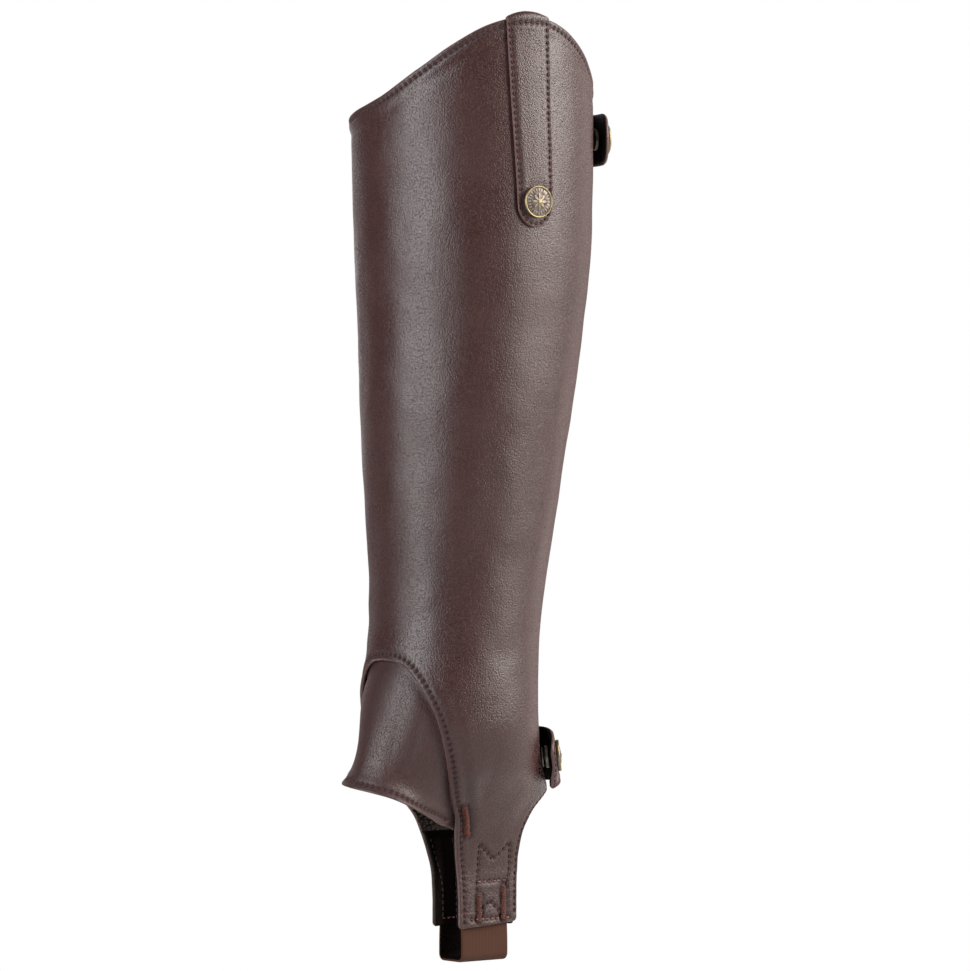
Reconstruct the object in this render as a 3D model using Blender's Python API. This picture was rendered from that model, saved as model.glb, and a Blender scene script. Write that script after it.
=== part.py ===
# Half chap: a hollow leather-like gaiter for the lower leg, filled out as worn, with a stirrup elastic.
# The toe points to -Y, the outer side of the leg to +X, and the zip runs down the back.
# The origin lies on the leg's axis where the calf is widest.
# Tables and sizes are millimetres. Heights count from a level just under the stirrup elastic.
# Angles are degrees round the leg: 0 at the front, 90 at the outer side, 180 at the zip.

import math

import bmesh
import bpy
from mathutils import Matrix, Vector, geometry

mm = 0.001

# Driving dimensions
calfLevel = 386.0           # height of the origin
gap = 0.35                  # clearance between neighbouring pieces
panelWall = 2.0             # leather bonded to its lining
vampWall = 1.6
strapWall = 1.4
tabWall = 2.6               # snap tab, two plies
facingWall = 1.0
elasticWall = 1.6
elasticWidth = 29.0
elasticFloor = 1.4          # height of the elastic's underside
elasticFloorHalf = 8.9      # half the width of its floor
elasticBend = 2.6           # radius of its two lower bends
elasticEnds = (58.5, 55.0, 51.0, 47.0, 40.0, 32.0, 24.0)    # its levels inside a stirrup tab
facingLow = 19.2
facingTop = 65.0
facingSlack = 0.7           # room over the elastic's edges, which the tab's curve brings closer
facingInset = 0.6           # degrees the facing stops short of the tab's edges
facingRaised = (0.4, 60.6)  # it stands off this far past the elastic's edges, up to this level
facingFlat = (2.6, 63.2)    # and lies on the panel again from here
panelStep = 6.5             # spacing of the facets on the leg
panelMargin = 2.7           # least distance of a facet's corner to the panel's edge

# The leg's outer face, level by level: an oval with its own middle and half lengths
# height, middle (Y), front half, back half, side half (X)
legSections = (
    (0, 0.8, 60.0, 60.0, 11.9),
    (45, 0.8, 60.0, 60.0, 11.8),
    (55, -0.4, 57.0, 56.0, 13.0),
    (65, -2.5, 50.0, 49.5, 15.8),
    (75, -4.6, 44.0, 46.5, 20.4),
    (86, -9.0, 43.0, 51.8, 27.5),
    (100, -12.0, 45.5, 47.4, 37.0),
    (117, -13.4, 46.8, 43.8, 42.4),
    (133, -14.0, 46.9, 43.6, 43.0),
    (145, -13.6, 45.6, 43.3, 42.4),
    (157, -12.8, 43.6, 43.2, 41.8),
    (189, -10.2, 44.5, 44.5, 42.5),
    (221, -8.3, 47.8, 47.8, 45.5),
    (253, -6.1, 51.3, 51.3, 48.9),
    (285, -3.8, 54.9, 54.9, 52.3),
    (317, -1.5, 57.5, 57.5, 54.8),
    (349, -0.3, 60.0, 60.0, 57.1),
    (381, 0.0, 61.0, 61.0, 58.1),
    (421, -0.8, 61.6, 61.6, 58.7),
    (475, -1.0, 61.6, 61.6, 58.7),
)

# Top edge of the leg panel: it peaks on the outer side and is low on the inner side
# angle, height
topEdge = (
    (-180, 435.0),
    (-150, 431.0),
    (-110, 423.0),
    (-75, 419.5),
    (-45, 420.5),
    (-26, 422.5),
    (4, 429.0),
    (27, 441.8),
    (45, 454.0),
    (62, 463.4),
    (80, 467.4),
    (92, 466.4),
    (102, 463.0),
    (112, 457.5),
    (122, 451.0),
    (132, 444.0),
    (145, 438.5),
    (160, 436.0),
    (180, 435.0),
)

# Arch over the instep, which runs on as the front edge of each stirrup tab
# angle from the front, height
archEdge = (
    (0, 152.5),
    (9, 152.0),
    (16, 150.8),
    (24, 147.5),
    (32, 141.6),
    (38, 135.0),
    (42.5, 128.5),
    (45.8, 121.5),
    (49.4, 111.0),
    (52.6, 101.0),
    (55.4, 91.0),
    (59.0, 80.0),
    (65.0, 68.0),
    (69.0, 56.5),
    (71.2, 45.0),
    (72.1, 32.0),
)

# Back edge of each stirrup tab, which runs on as the hem over the heel
# angle from the front, height
heelEdge = (
    (107.8, 32.0),
    (108.2, 45.0),
    (110.4, 53.5),
    (115.5, 61.5),
    (123.0, 69.5),
    (134.0, 77.0),
    (146.0, 82.5),
    (160.0, 85.4),
)
heelHem = 86.0              # height of the hem at the zip
tabBottomEnds = (18.2, 20.4)    # lower edge of a stirrup tab at its front and at its back
tabCorner = 2.2             # radius of the stirrup tab's lower corners

# Hem of the vamp, standing out over the instep
# angle, X, Y, height
vampHem = (
    (-56, -23.5, -34.5, 92.0),
    (-45, -25.0, -50.0, 92.5),
    (-30, -20.0, -65.0, 92.0),
    (-15, -11.0, -74.0, 91.0),
    (0, 1.0, -77.5, 90.0),
    (15, 12.0, -73.8, 88.1),
    (30, 20.0, -65.5, 85.0),
    (45, 23.2, -54.0, 79.8),
    (56, 19.4, -38.5, 73.2),
    (65, 13.0, -24.0, 66.8),
)
vampOverlap = 9.0           # how far the vamp reaches under the arch
vampGap = 0.6               # between the vamp and the panel's inner face
vampSideEnds = (-66.0, 71.0)
vampSeamWidth = 3.0         # it stays flat against the arch's edge this far
vampFreeDrop = 16.0         # it leans fully where it hangs this far below its seam
vampLeanTop = 14.0          # degrees it leans out where it leaves the arch
vampLeanHem = 42.0          # and at the middle of its hem
vampStep = 6.0              # spacing of its facets
vampMargin = 2.4

# Zip
slotHalf = 4.0
tapeHalf = 15.0
tapeWall = 0.8
tapeEnds = (88.5, 430.0)
chainHalf = 2.8
chainEnds = (91.0, 383.2)
sliderLevel = 389.0
sliderSize = (7.0, 3.6, 10.6)
bridgeSize = (2.0, 4.0, 8.0)
bridgeBar = 1.2
pullBar = 1.5               # the pull's crossbar, which turns under the bridge
pullGap = 0.4               # between the crossbar and the slider's face
pullWidth = 6.4
pullLeg = 1.5
pullLoop = 7.0
pullLength = 24.0
pullPlate = 1.3

# Outer strap: left and right edges as angles at its top and at its lower end
strapTop = (68.8, 90.8)
strapLow = (73.8, 92.6)
strapLowLevel = 376.0
strapTip = 364.5
strapBend = math.pi * (panelWall / 2 + gap + strapWall / 2)     # its length over the top edge
strapTail = 11.0            # length folded down inside the top edge
strapSnap = (83.4, 377.0)
strapRoundSteps = (8, 22, 38, 56, 74)       # degrees round its lower end
strapLevels = (376, 388, 400, 412, 424, 436, 446, 454)
strapBendSteps = (-7.0, 0.0, 1.0, 2.0, 3.0, 4.0, 5.0)       # reach past the top edge

# Snap tabs: angle of the root, of the snap and of the tip, lower and upper level,
# stand-off at the snap, length and height of the lower and of the upper corner of the tip
topTab = {"root": 207.0, "snap": 158.5, "tip": 144.6, "low": 399.2, "high": 425.4,
          "lift": 5.5, "corners": ((13.0, 13.0), (13.0, 13.0))}
bottomTab = {"root": 212.0, "snap": 146.0, "tip": 132.5, "low": 88.4, "high": 116.8,
             "lift": 4.9, "corners": ((2.0, 2.0), (25.0, 12.0))}
tabGap = 0.5                # between the snap tab's root and the panel
tabSeat = 10.0              # the tab leaves the panel this many degrees before the zip
tabStep = 4.4
tabMargin = 1.6

# Half outlines of the snap's pieces
# radius, height
capProfile = (
    (0.0, 0.0),
    (5.6, 0.0),
    (7.4, 0.25),
    (7.9, 0.8),
    (7.6, 1.5),
    (6.9, 1.75),
    (6.2, 1.5),
    (5.8, 1.2),
    (5.0, 1.3),
    (3.0, 1.75),
    (0.0, 2.0),
)
socketProfile = (
    (2.5, 0.0),
    (5.0, 0.0),
    (5.6, 0.5),
    (5.6, 1.6),
    (4.6, 2.2),
    (2.9, 2.4),
    (2.5, 2.0),
)
studProfile = (
    (0.0, 0.0),
    (5.0, 0.0),
    (5.0, 0.5),
    (4.2, 0.9),
    (1.7, 1.1),
    (1.7, 1.7),
    (2.1, 2.2),
    (1.9, 3.0),
    (1.2, 3.4),
    (0.0, 3.5),
)
socketHeight = 2.4


def clearScene():
    for thing in list(bpy.data.objects):
        bpy.data.objects.remove(thing, do_unlink=True)


def material(name, color, roughness, metallic=0.0):
    made = bpy.data.materials.new(name)
    made.use_nodes = True
    shader = made.node_tree.nodes["Principled BSDF"]
    shader.inputs["Base Color"].default_value = (*color, 1.0)
    shader.inputs["Roughness"].default_value = roughness
    shader.inputs["Metallic"].default_value = metallic
    return made


# Curves through tables

def slopeAt(table, row, column):
    last = len(table) - 1
    low, high = max(row - 1, 0), min(row + 1, last)
    if 0 < row < last:
        before = table[row][column] - table[low][column]
        after = table[high][column] - table[row][column]
        if before * after <= 0:
            return 0.0
    return (table[high][column] - table[low][column]) / (table[high][0] - table[low][0])


def hermite(start, end, startSlope, endSlope, t):
    return (start * (2 * t ** 3 - 3 * t ** 2 + 1) + startSlope * (t ** 3 - 2 * t ** 2 + t)
            + end * (3 * t ** 2 - 2 * t ** 3) + endSlope * (t ** 3 - t ** 2))


def readRow(table, at):
    at = min(max(at, table[0][0]), table[-1][0])
    row = max(k for k in range(len(table) - 1) if table[k][0] <= at)
    span = table[row + 1][0] - table[row][0]
    t = (at - table[row][0]) / span
    return [hermite(table[row][c], table[row + 1][c], slopeAt(table, row, c) * span,
                    slopeAt(table, row + 1, c) * span, t) for c in range(1, len(table[0]))]


def smoothStep(low, high, at):
    t = min(max((at - low) / (high - low), 0.0), 1.0)
    return t * t * (3 - 2 * t)


def divided(points, step):
    # the same line with no stretch longer than the step
    line = []
    for (a, b), (c, d) in zip(points, points[1:]):
        pieces = max(1, math.ceil(math.hypot(c - a, d - b) / step - 0.01))
        line += [(a + (c - a) * k / pieces, b + (d - b) * k / pieces) for k in range(pieces)]
    return line + [points[-1]]


def curved(table, step):
    # a smooth line through points that may turn back on themselves, divided evenly
    count = len(table)
    lengths = [0.0]
    for (a, b), (c, d) in zip(table, table[1:]):
        lengths.append(lengths[-1] + math.hypot(c - a, d - b))
    rows = [(lengths[k], table[k][0], table[k][1]) for k in range(count)]
    pieces = max(1, math.ceil(lengths[-1] / step))
    return [tuple(readRow(rows, lengths[-1] * k / pieces)) for k in range(pieces + 1)]


# The leg's face

def legSkin(angle, height):
    middle, front, back, side = readRow(legSections, height)
    turn = math.radians(angle)
    reach = front if math.cos(turn) > 0 else back
    return Vector((side * math.sin(turn), middle - reach * math.cos(turn), height - calfLevel)) * mm


def legNormal(angle, height):
    across = legSkin(angle + 0.5, height) - legSkin(angle - 0.5, height)
    up = legSkin(angle, height + 0.5) - legSkin(angle, height - 0.5)
    return across.cross(up).normalized()


def legPoint(angle, height, out=0.0):
    return legSkin(angle, height) + legNormal(angle, height) * out * mm


def backAngle(distance, height):
    # angle whose point lies this far sideways from the zip's middle, towards the outer side
    side = readRow(legSections, height)[3]
    return 180.0 - math.degrees(math.asin(distance / side))


def sideAngle(y, height):
    # angle on the outer side whose point lies at this Y
    middle, front, back, _ = readRow(legSections, height)
    return math.degrees(math.acos((middle - y) / (front if y < middle else back)))


def edgeAngle(table, height):
    # angle of a stirrup tab's edge at a height, from the edge's own points
    rows = sorted((level, angle) for angle, level in table)
    return readRow(rows, height)[0]


def archHeight(angle):
    return readRow(archEdge, abs(angle))[0]


def levelsBetween(low, high, step):
    return [height for _, height in divided([(0.0, low), (0.0, high)], step)]


# Walls cut from flat patterns

def insideOutline(point, outline):
    x, y = point
    inside = False
    for (a, b), (c, d) in zip(outline, outline[1:] + outline[:1]):
        if (b > y) != (d > y) and x < a + (c - a) * (y - b) / (d - b):
            inside = not inside
    return inside


def distanceTo(point, outline):
    x, y = point
    nearest = 1e9
    for (a, b), (c, d) in zip(outline, outline[1:] + outline[:1]):
        run = (c - a) ** 2 + (d - b) ** 2
        t = min(max(((x - a) * (c - a) + (y - b) * (d - b)) / run, 0.0), 1.0) if run else 0.0
        nearest = min(nearest, math.hypot(a + (c - a) * t - x, b + (d - b) * t - y))
    return nearest


def cutPattern(outline, columns, rows, margin):
    # triangles inside the outline, with a grid of points kept clear of its edge
    inner = [(x, y) for y in rows for x in columns
             if insideOutline((x, y), outline) and distanceTo((x, y), outline) > margin]
    points = [Vector(p) for p in outline + inner]
    loop = list(range(len(outline)))
    made = geometry.delaunay_2d_cdt(points, [], [loop], 1, 1e-5)
    return [tuple(p) for p in made[0]], [list(f) for f in made[2]]


def gridPattern(rows):
    # quads between rows that hold the same number of points
    points = [p for row in rows for p in row]
    width = len(rows[0])
    faces = [[r * width + c, r * width + c + 1, (r + 1) * width + c + 1, (r + 1) * width + c]
             for r in range(len(rows) - 1) for c in range(width - 1)]
    return points, faces


def wall(name, pattern, surface, low, high, look):
    # a closed wall: the pattern laid on a surface at two distances, joined round its edge
    points, faces = pattern
    bm = bmesh.new()
    lower = [bm.verts.new(surface(a, b, low)) for a, b in points]
    upper = [bm.verts.new(surface(a, b, high)) for a, b in points]
    border = {}
    for face in faces:
        bm.faces.new([upper[k] for k in face])
        bm.faces.new([lower[k] for k in reversed(face)])
        for start, end in zip(face, face[1:] + face[:1]):
            if (end, start) in border:
                del border[(end, start)]
            else:
                border[(start, end)] = True
    for start, end in border:
        bm.faces.new([upper[end], upper[start], lower[start], lower[end]])
    return finished(name, bm, look)


def finished(name, bm, look):
    bmesh.ops.recalc_face_normals(bm, faces=bm.faces)
    mesh = bpy.data.meshes.new(name)
    bm.to_mesh(mesh)
    bm.free()
    mesh.materials.append(look)
    mesh.shade_smooth()
    mesh.set_sharp_from_angle(angle=math.radians(40))
    made = bpy.data.objects.new(name, mesh)
    bpy.context.scene.collection.objects.link(made)
    return made


def turned(name, profile, seat, normal, look, closed=False):
    # a round piece from its half outline (radius, height), standing on its seat
    bm = bmesh.new()
    line = [bm.verts.new((radius * mm, 0.0, height * mm)) for radius, height in profile]
    pairs = list(zip(line, line[1:]))
    if closed:
        pairs.append((line[-1], line[0]))
    edges = [bm.edges.new(pair) for pair in pairs]
    bmesh.ops.spin(bm, geom=line + edges, cent=(0, 0, 0), axis=(0, 0, 1), dvec=(0, 0, 0),
                   angle=math.tau, steps=20, use_merge=True)
    bmesh.ops.remove_doubles(bm, verts=bm.verts, dist=0.001 * mm)
    piece = finished(name, bm, look)
    turn = normal.to_track_quat("Z", "Y").to_matrix().to_4x4()
    piece.matrix_world = Matrix.Translation(seat) @ turn
    return piece


def block(bm, low, high):
    # a box between two corners, in millimetres
    size = [(b - a) * mm for a, b in zip(low, high)]
    middle = [(a + b) / 2 * mm for a, b in zip(low, high)]
    placed = Matrix.Translation(middle) @ Matrix.Diagonal((*size, 1.0))
    bmesh.ops.create_cube(bm, size=1.0, matrix=placed)


def cut(piece, tool, operation):
    change = piece.modifiers.new(operation.lower(), "BOOLEAN")
    change.operation = operation
    change.object = tool
    change.solver = "EXACT"
    tool.hide_render = True
    tool.display_type = "WIRE"


# Leg panel

def lowerEdge(side):
    # from the middle of the arch round one stirrup tab to the zip
    front = curved(archEdge, panelStep)
    back = curved(heelEdge, panelStep)
    frontEnd, backEnd = archEdge[-1][0], heelEdge[0][0]
    bend = tabCorner * 0.3
    frontLow, backLow = tabBottomEnds
    bottom = [
        (frontEnd, frontLow + tabCorner),
        (frontEnd + bend, frontLow + bend),
        (frontEnd + tabCorner, frontLow),
        (backEnd - tabCorner, backLow),
        (backEnd - bend, backLow + bend),
        (backEnd, backLow + tabCorner),
    ]
    end = divided([front[-1]] + bottom + [back[0]], panelStep)[1:-1]
    hem = divided([back[-1], (170.0, heelHem), (backAngle(slotHalf, heelHem), heelHem)], panelStep)[1:]
    return [(side * angle, height) for angle, height in front + end + back + hem]


def panelOutline():
    outer = lowerEdge(1)
    inner = lowerEdge(-1)
    backTop = topEdge[-1][1]
    slotTop = backAngle(slotHalf, backTop)
    levels = levelsBetween(heelHem, backTop, 2 * panelStep)[1:-1]
    rise = [(backAngle(slotHalf, height), height) for height in levels]
    rimCount = math.ceil(2 * slotTop / panelStep)
    rimAngles = [slotTop - 2 * slotTop * k / rimCount for k in range(rimCount + 1)]
    rim = [(angle, readRow(topEdge, angle)[0]) for angle in rimAngles]
    fall = [(-angle, height) for angle, height in reversed(rise)]
    return outer + rise + rim + fall + list(reversed(inner))[:-1]


def legPanel(look):
    # facets lie close together round the ankle and the top edge, and wide apart on the calf
    count = int(180 / panelStep)
    columns = [panelStep * k for k in range(-count, count + 1)]
    rows = levelsBetween(24, 48, 6.0)[:-1] + levelsBetween(48, 98, 5.0) + levelsBetween(98, 162, 8.0)[1:]
    rows += levelsBetween(162, 396, 13.8)[1:] + levelsBetween(396, 458, 10.4)[1:]
    pattern = cutPattern(panelOutline(), columns, rows, panelMargin)
    return wall("leg_panel", pattern, legPoint, -panelWall, 0.0, look)


# Vamp

def vampPoint(angle, height, out=0.0):
    # under the panel it follows the leg; past the arch it leans out to its hem
    edge = archHeight(angle)
    steepness = (archHeight(abs(angle) - 1) - archHeight(abs(angle) + 1)) / 2
    start = edge - vampSeamWidth * math.hypot(1.0, steepness)
    hemX, hemY, hemLevel = readRow(vampHem, angle)
    depth = -panelWall - vampGap
    if height >= start or start <= hemLevel:
        return legPoint(angle, height, depth + out)
    t = (start - height) / (start - hemLevel)
    upper = legPoint(angle, start, depth)
    lower = legPoint(angle, hemLevel, depth)
    free = smoothStep(0.0, vampFreeDrop, start - hemLevel)
    lower = lower.lerp(Vector((hemX, hemY, hemLevel - calfLevel)) * mm, free)
    before, after = readRow(vampHem, angle - 2), readRow(vampHem, angle + 2)
    hemNormal = Vector((after[1] - before[1], before[0] - after[0], 0)).normalized()
    span = (lower - upper).length
    drop = (legSkin(angle, start - 1) - legSkin(angle, start)).normalized()
    leanTop = math.radians(vampLeanTop * free)
    leanHem = math.radians(vampLeanHem * free)
    upperSlope = (drop * math.cos(leanTop) + legNormal(angle, start) * math.sin(leanTop)) * span
    lowerSlope = (Vector((0, 0, -1)) * math.cos(leanHem) + hemNormal * math.sin(leanHem)) * span
    outward = legNormal(angle, start).lerp(hemNormal, t).normalized()
    return hermite(upper, lower, upperSlope, lowerSlope, t) + outward * (out * mm)


def vamp(look):
    left, right = vampSideEnds
    count = math.ceil((right - left) / vampStep)
    angles = [left + (right - left) * k / count for k in range(count + 1)]
    hem = [(angle, readRow(vampHem, angle)[2]) for angle in angles]
    top = []
    for angle, level in reversed(hem):
        top.append((angle, max(archHeight(angle), level) + vampOverlap))
    outer = divided([hem[-1], top[0]], vampStep)[1:-1]
    inner = divided([top[-1], hem[0]], vampStep)[1:-1]
    rows = levelsBetween(60, 164.5, 5.5)
    pattern = cutPattern(hem + outer + top + inner, angles, rows, vampMargin)
    return wall("vamp", pattern, vampPoint, -vampWall, 0.0, look)


# Stirrup

def elasticPath():
    # middle line of the elastic from the end in the outer tab down to the middle of its floor
    inset = panelWall + gap + elasticWall / 2
    line = []
    for height in elasticEnds:
        point = legPoint(sideAngle(elasticWidth / 2, height), height, -inset) / mm
        line.append((point.x, point.z + calfLevel))
    bend, floor = elasticBend, elasticFloor + elasticWall / 2
    line.append((elasticFloorHalf, floor + 2.6 * bend))
    for k in range(5):
        turn = math.radians(22.5 * k)
        across = elasticFloorHalf - bend + bend * math.cos(turn)
        line.append((across, floor + bend - bend * math.sin(turn)))
    return line + [(0.0, floor)]


def stirrupElastic(look):
    half = elasticPath()
    line = half + [(-x, z) for x, z in reversed(half[:-1])]
    sides = {-1: [], 1: []}
    for k, (x, z) in enumerate(line):
        before, after = line[max(k - 1, 0)], line[min(k + 1, len(line) - 1)]
        run = Vector((after[0] - before[0], after[1] - before[1])).normalized() * elasticWall / 2
        for side in sides:
            sides[side].append((x + run.y * side, z - run.x * side))
    outline = sides[1] + list(reversed(sides[-1]))
    bm = bmesh.new()
    lines = []
    for y in (-elasticWidth / 2, elasticWidth / 2):
        lines.append([bm.verts.new((x * mm, y * mm, (z - calfLevel) * mm)) for x, z in outline])
    count = len(outline)
    for k in range(len(line) - 1):
        for row in lines:
            bm.faces.new([row[k], row[k + 1], row[count - 2 - k], row[count - 1 - k]])
    front, back = lines
    for k in range(count):
        bm.faces.new([front[k - 1], front[k], back[k], back[k - 1]])
    return finished("stirrup_elastic", bm, look)


def facing(name, side, look):
    # the inner ply of a stirrup tab: it lies on the panel and rises over the elastic's end
    rise = gap + elasticWall + facingSlack
    raisedHalf, flatHalf = (elasticWidth / 2 + past for past, _ in (facingRaised, facingFlat))
    raisedTop, flatTop = facingRaised[1], facingFlat[1]

    def surface(angle, height, out):
        place = legSkin(angle, height) / mm
        across = 1 - smoothStep(raisedHalf, flatHalf, abs(place.y))
        raised = across * (1 - smoothStep(raisedTop, flatTop, height))
        return legPoint(side * angle, height, -panelWall - gap - rise * raised - out)

    slopeHalf, slopeTop = (raisedHalf + flatHalf) / 2, (raisedTop + flatTop) / 2
    halves = [elasticWidth / 4, raisedHalf, slopeHalf, flatHalf]
    across = [-y for y in reversed(halves)] + [0.0] + halves
    rows = []
    for height in levelsBetween(facingLow, raisedTop, panelStep) + [slopeTop, flatTop, facingTop]:
        first = edgeAngle(archEdge, height) + facingInset
        last = edgeAngle(heelEdge, height) - facingInset
        middles = [sideAngle(y, height) for y in across]
        rows.append([(angle, height) for angle in (first, *middles, last)])
    return wall(name, gridPattern(rows), surface, 0.0, facingWall, look)


# Outer strap

def strapPoint(angle, reach, out=0.0):
    # past the panel's top edge the reach counts on over the edge and down inside
    edge = readRow(topEdge, angle)[0]
    past = reach - edge
    if past <= 0:
        return legPoint(angle, reach, out)
    radius = panelWall / 2 + out
    if past < strapBend:
        turn = math.pi * past / strapBend
        level = edge + radius * math.sin(turn)
        return legPoint(angle, level, -panelWall / 2 + radius * math.cos(turn))
    return legPoint(angle, edge - (past - strapBend), -panelWall / 2 - radius)


def strapEdges(height):
    topLevel = readRow(topEdge, sum(strapTop) / 2)[0]
    share = (min(height, topLevel) - strapLowLevel) / (topLevel - strapLowLevel)
    return [low + (high - low) * share for low, high in zip(strapLow, strapTop)]


def outerStrap(look):
    shares = [k / 6 for k in range(7)]
    left, right = strapLow
    middle, half = (left + right) / 2, (right - left) / 2
    rows = []
    for degrees in strapRoundSteps:
        turn = math.radians(degrees)
        level = strapLowLevel - (strapLowLevel - strapTip) * math.cos(turn)
        rows.append([(middle + half * math.sin(turn) * (2 * s - 1), level) for s in shares])
    for height in strapLevels:
        left, right = strapEdges(height)
        rows.append([(left + (right - left) * s, height) for s in shares])
    left, right = strapTop
    angles = [left + (right - left) * s for s in shares]
    for past in (*strapBendSteps, strapBend, strapBend + strapTail):
        rows.append([(angle, readRow(topEdge, angle)[0] + past) for angle in angles])
    return wall("outer_strap", gridPattern(rows), strapPoint, gap, gap + strapWall, look)


# Snap hardware

def snapPiece(name, profile, place, out, look, closed=False):
    seat, normal = legPoint(*place, out), legNormal(*place)
    return turned(name, profile, seat, normal, look, closed)


def tabLift(tab, angle):
    # the tab lies flat past the zip and rises to the snap, where socket and stud hold it off
    return tabGap + (tab["lift"] - tabGap) * smoothStep(180 + tabSeat, tab["snap"] + 5, angle)


def snapTab(name, tab, look, brass):
    middle = (tab["low"] + tab["high"]) / 2
    span = (legSkin(tab["snap"], middle) - legSkin(180, middle)).length / mm
    perDegree = span / (180 - tab["snap"])
    outline = [(tab["root"], tab["low"]), (tab["root"], tab["high"])]
    (lowLength, lowRise), (highLength, highRise) = tab["corners"]
    turns = [math.radians(15 * k) for k in range(7)]
    for turn in turns:
        angle = tab["tip"] + highLength * (1 - math.sin(turn)) / perDegree
        outline.append((angle, tab["high"] - highRise * (1 - math.cos(turn))))
    for turn in turns:
        angle = tab["tip"] + lowLength * (1 - math.cos(turn)) / perDegree
        outline.append((angle, tab["low"] + lowRise * (1 - math.sin(turn))))
    outline = divided(outline + outline[:1], tabStep)[:-1]
    columns = [angle for angle, _ in divided([(tab["tip"], 0.0), (tab["root"], 0.0)], tabStep)]
    rows = levelsBetween(tab["low"], tab["high"], tabStep)
    pattern = cutPattern(outline, columns, rows, tabMargin)

    def surface(angle, height, out):
        return legPoint(angle, height, tabLift(tab, angle) + out)

    wall(name, pattern, surface, 0.0, tabWall, look)
    lift = tab["lift"]
    place = (tab["snap"], middle)
    snapPiece(name + "_cap", capProfile, place, lift + tabWall + gap, brass)
    snapPiece(name + "_socket", socketProfile, place, lift - 2 * gap - socketHeight, brass, True)
    snapPiece(name + "_stud", studProfile, place, gap, brass)


# Zip

def zipBand(name, half, pieces, ends, low, high, look):
    # a band down the middle of the back
    rows = []
    for height in levelsBetween(*ends, 2 * panelStep):
        across = [half * (2 * k / pieces - 1) for k in range(pieces + 1)]
        rows.append([(backAngle(x, height), height) for x in across])
    return wall(name, gridPattern(rows), legPoint, low, high, look)


def zipSlider(look):
    # the body sits in the slot between the panel's edges, the bridge stands on it
    width, depth, length = sliderSize
    bridgeWidth, bridgeHeight, bridgeLength = bridgeSize
    face = depth - panelWall
    bm = bmesh.new()
    block(bm, (-width / 2, -panelWall, -length / 2), (width / 2, face, length / 2))
    bmesh.ops.bevel(bm, geom=bm.edges[:], offset=0.6 * mm, segments=2, affect="EDGES")
    body = finished("zip_slider", bm, look)
    bm = bmesh.new()
    half, top = bridgeLength / 2, face + bridgeHeight
    foot = face - bridgeHeight / 5
    block(bm, (-bridgeWidth / 2, foot, -half), (bridgeWidth / 2, top, half))
    bmesh.ops.bevel(bm, geom=bm.edges[:], offset=0.3 * mm, segments=1, affect="EDGES")
    bridge = finished("bridge", bm, look)
    bm = bmesh.new()
    inner = half - bridgeBar
    block(bm, (-bridgeWidth, face, -inner), (bridgeWidth, top - bridgeBar, inner))
    hole = finished("bridge_hole", bm, look)
    cut(bridge, hole, "DIFFERENCE")
    cut(body, bridge, "UNION")
    for piece in (body, bridge, hole):
        piece.location = legPoint(180, sliderLevel)
    return body


def pullAxis():
    # the crossbar hangs at the bottom of the bridge's opening
    out = sliderSize[1] - panelWall + pullGap + pullBar / 2
    drop = bridgeSize[2] / 2 - bridgeBar - gap - pullBar / 2
    return legPoint(180, sliderLevel) + Vector((0, out, -drop)) * mm


def zipPull(look):
    # crossbar, two legs beside the bridge and a plate, hanging straight down from the crossbar
    half, bar, plate = pullWidth / 2, pullBar / 2, pullPlate / 2
    tip = half - 0.6
    tipLevel = tip - pullLength
    outline = [(-half, bar), (half, bar)]
    for k in range(9):
        turn = math.pi * k / 8
        outline.append((half * math.cos(turn), tipLevel - tip * math.sin(turn)))
    bm = bmesh.new()
    face = bm.faces.new([bm.verts.new((x * mm, -plate * mm, z * mm)) for x, z in outline])
    grown = bmesh.ops.extrude_face_region(bm, geom=[face])
    moved = [v for v in grown["geom"] if isinstance(v, bmesh.types.BMVert)]
    bmesh.ops.translate(bm, verts=moved, vec=(0, pullPlate * mm, 0))
    piece = finished("zip_pull", bm, look)
    bm = bmesh.new()
    inner = half - pullLeg
    block(bm, (-inner, -pullPlate, -bar - pullLoop), (inner, pullPlate, -bar))
    window = finished("pull_window", bm, look)
    cut(piece, window, "DIFFERENCE")
    for thing in (piece, window):
        thing.location = pullAxis()
    return piece


def build():
    clearScene()
    leather = material("leather", (0.085, 0.052, 0.048), 0.45)
    lining = material("lining", (0.012, 0.008, 0.007), 0.8)
    webbing = material("elastic", (0.105, 0.05, 0.033), 0.75)
    brass = material("antique_brass", (0.34, 0.27, 0.19), 0.35, 1.0)
    tape = material("zip_tape", (0.02, 0.012, 0.011), 0.85)
    legPanel(leather)
    vamp(leather)
    stirrupElastic(webbing)
    facing("outer_tab_facing", 1, lining)
    facing("inner_tab_facing", -1, lining)
    outerStrap(leather)
    snapPiece("strap_cap", capProfile, strapSnap, gap + strapWall + gap, brass)
    snapTab("top_tab", topTab, leather, brass)
    snapTab("bottom_tab", bottomTab, leather, brass)
    behind = -panelWall - gap
    zipBand("zip_tape", tapeHalf, 8, tapeEnds, behind - tapeWall, behind, tape)
    zipBand("zip_chain", chainHalf, 2, chainEnds, -panelWall, 0.0, brass)
    zipSlider(brass)
    zipPull(brass)


build()
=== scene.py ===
# Looks of the half chap: leather-like cloth, sewing, elastic, snaps and zip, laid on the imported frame.
# Tables and sizes are millimetres, heights count from just under the elastic, and angles are degrees
# round the leg: 0 at the front, 90 at the outer side, 180 at the zip.
import math

import bpy
import numpy as np
from mathutils import Matrix, Vector, geometry, kdtree, noise


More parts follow.
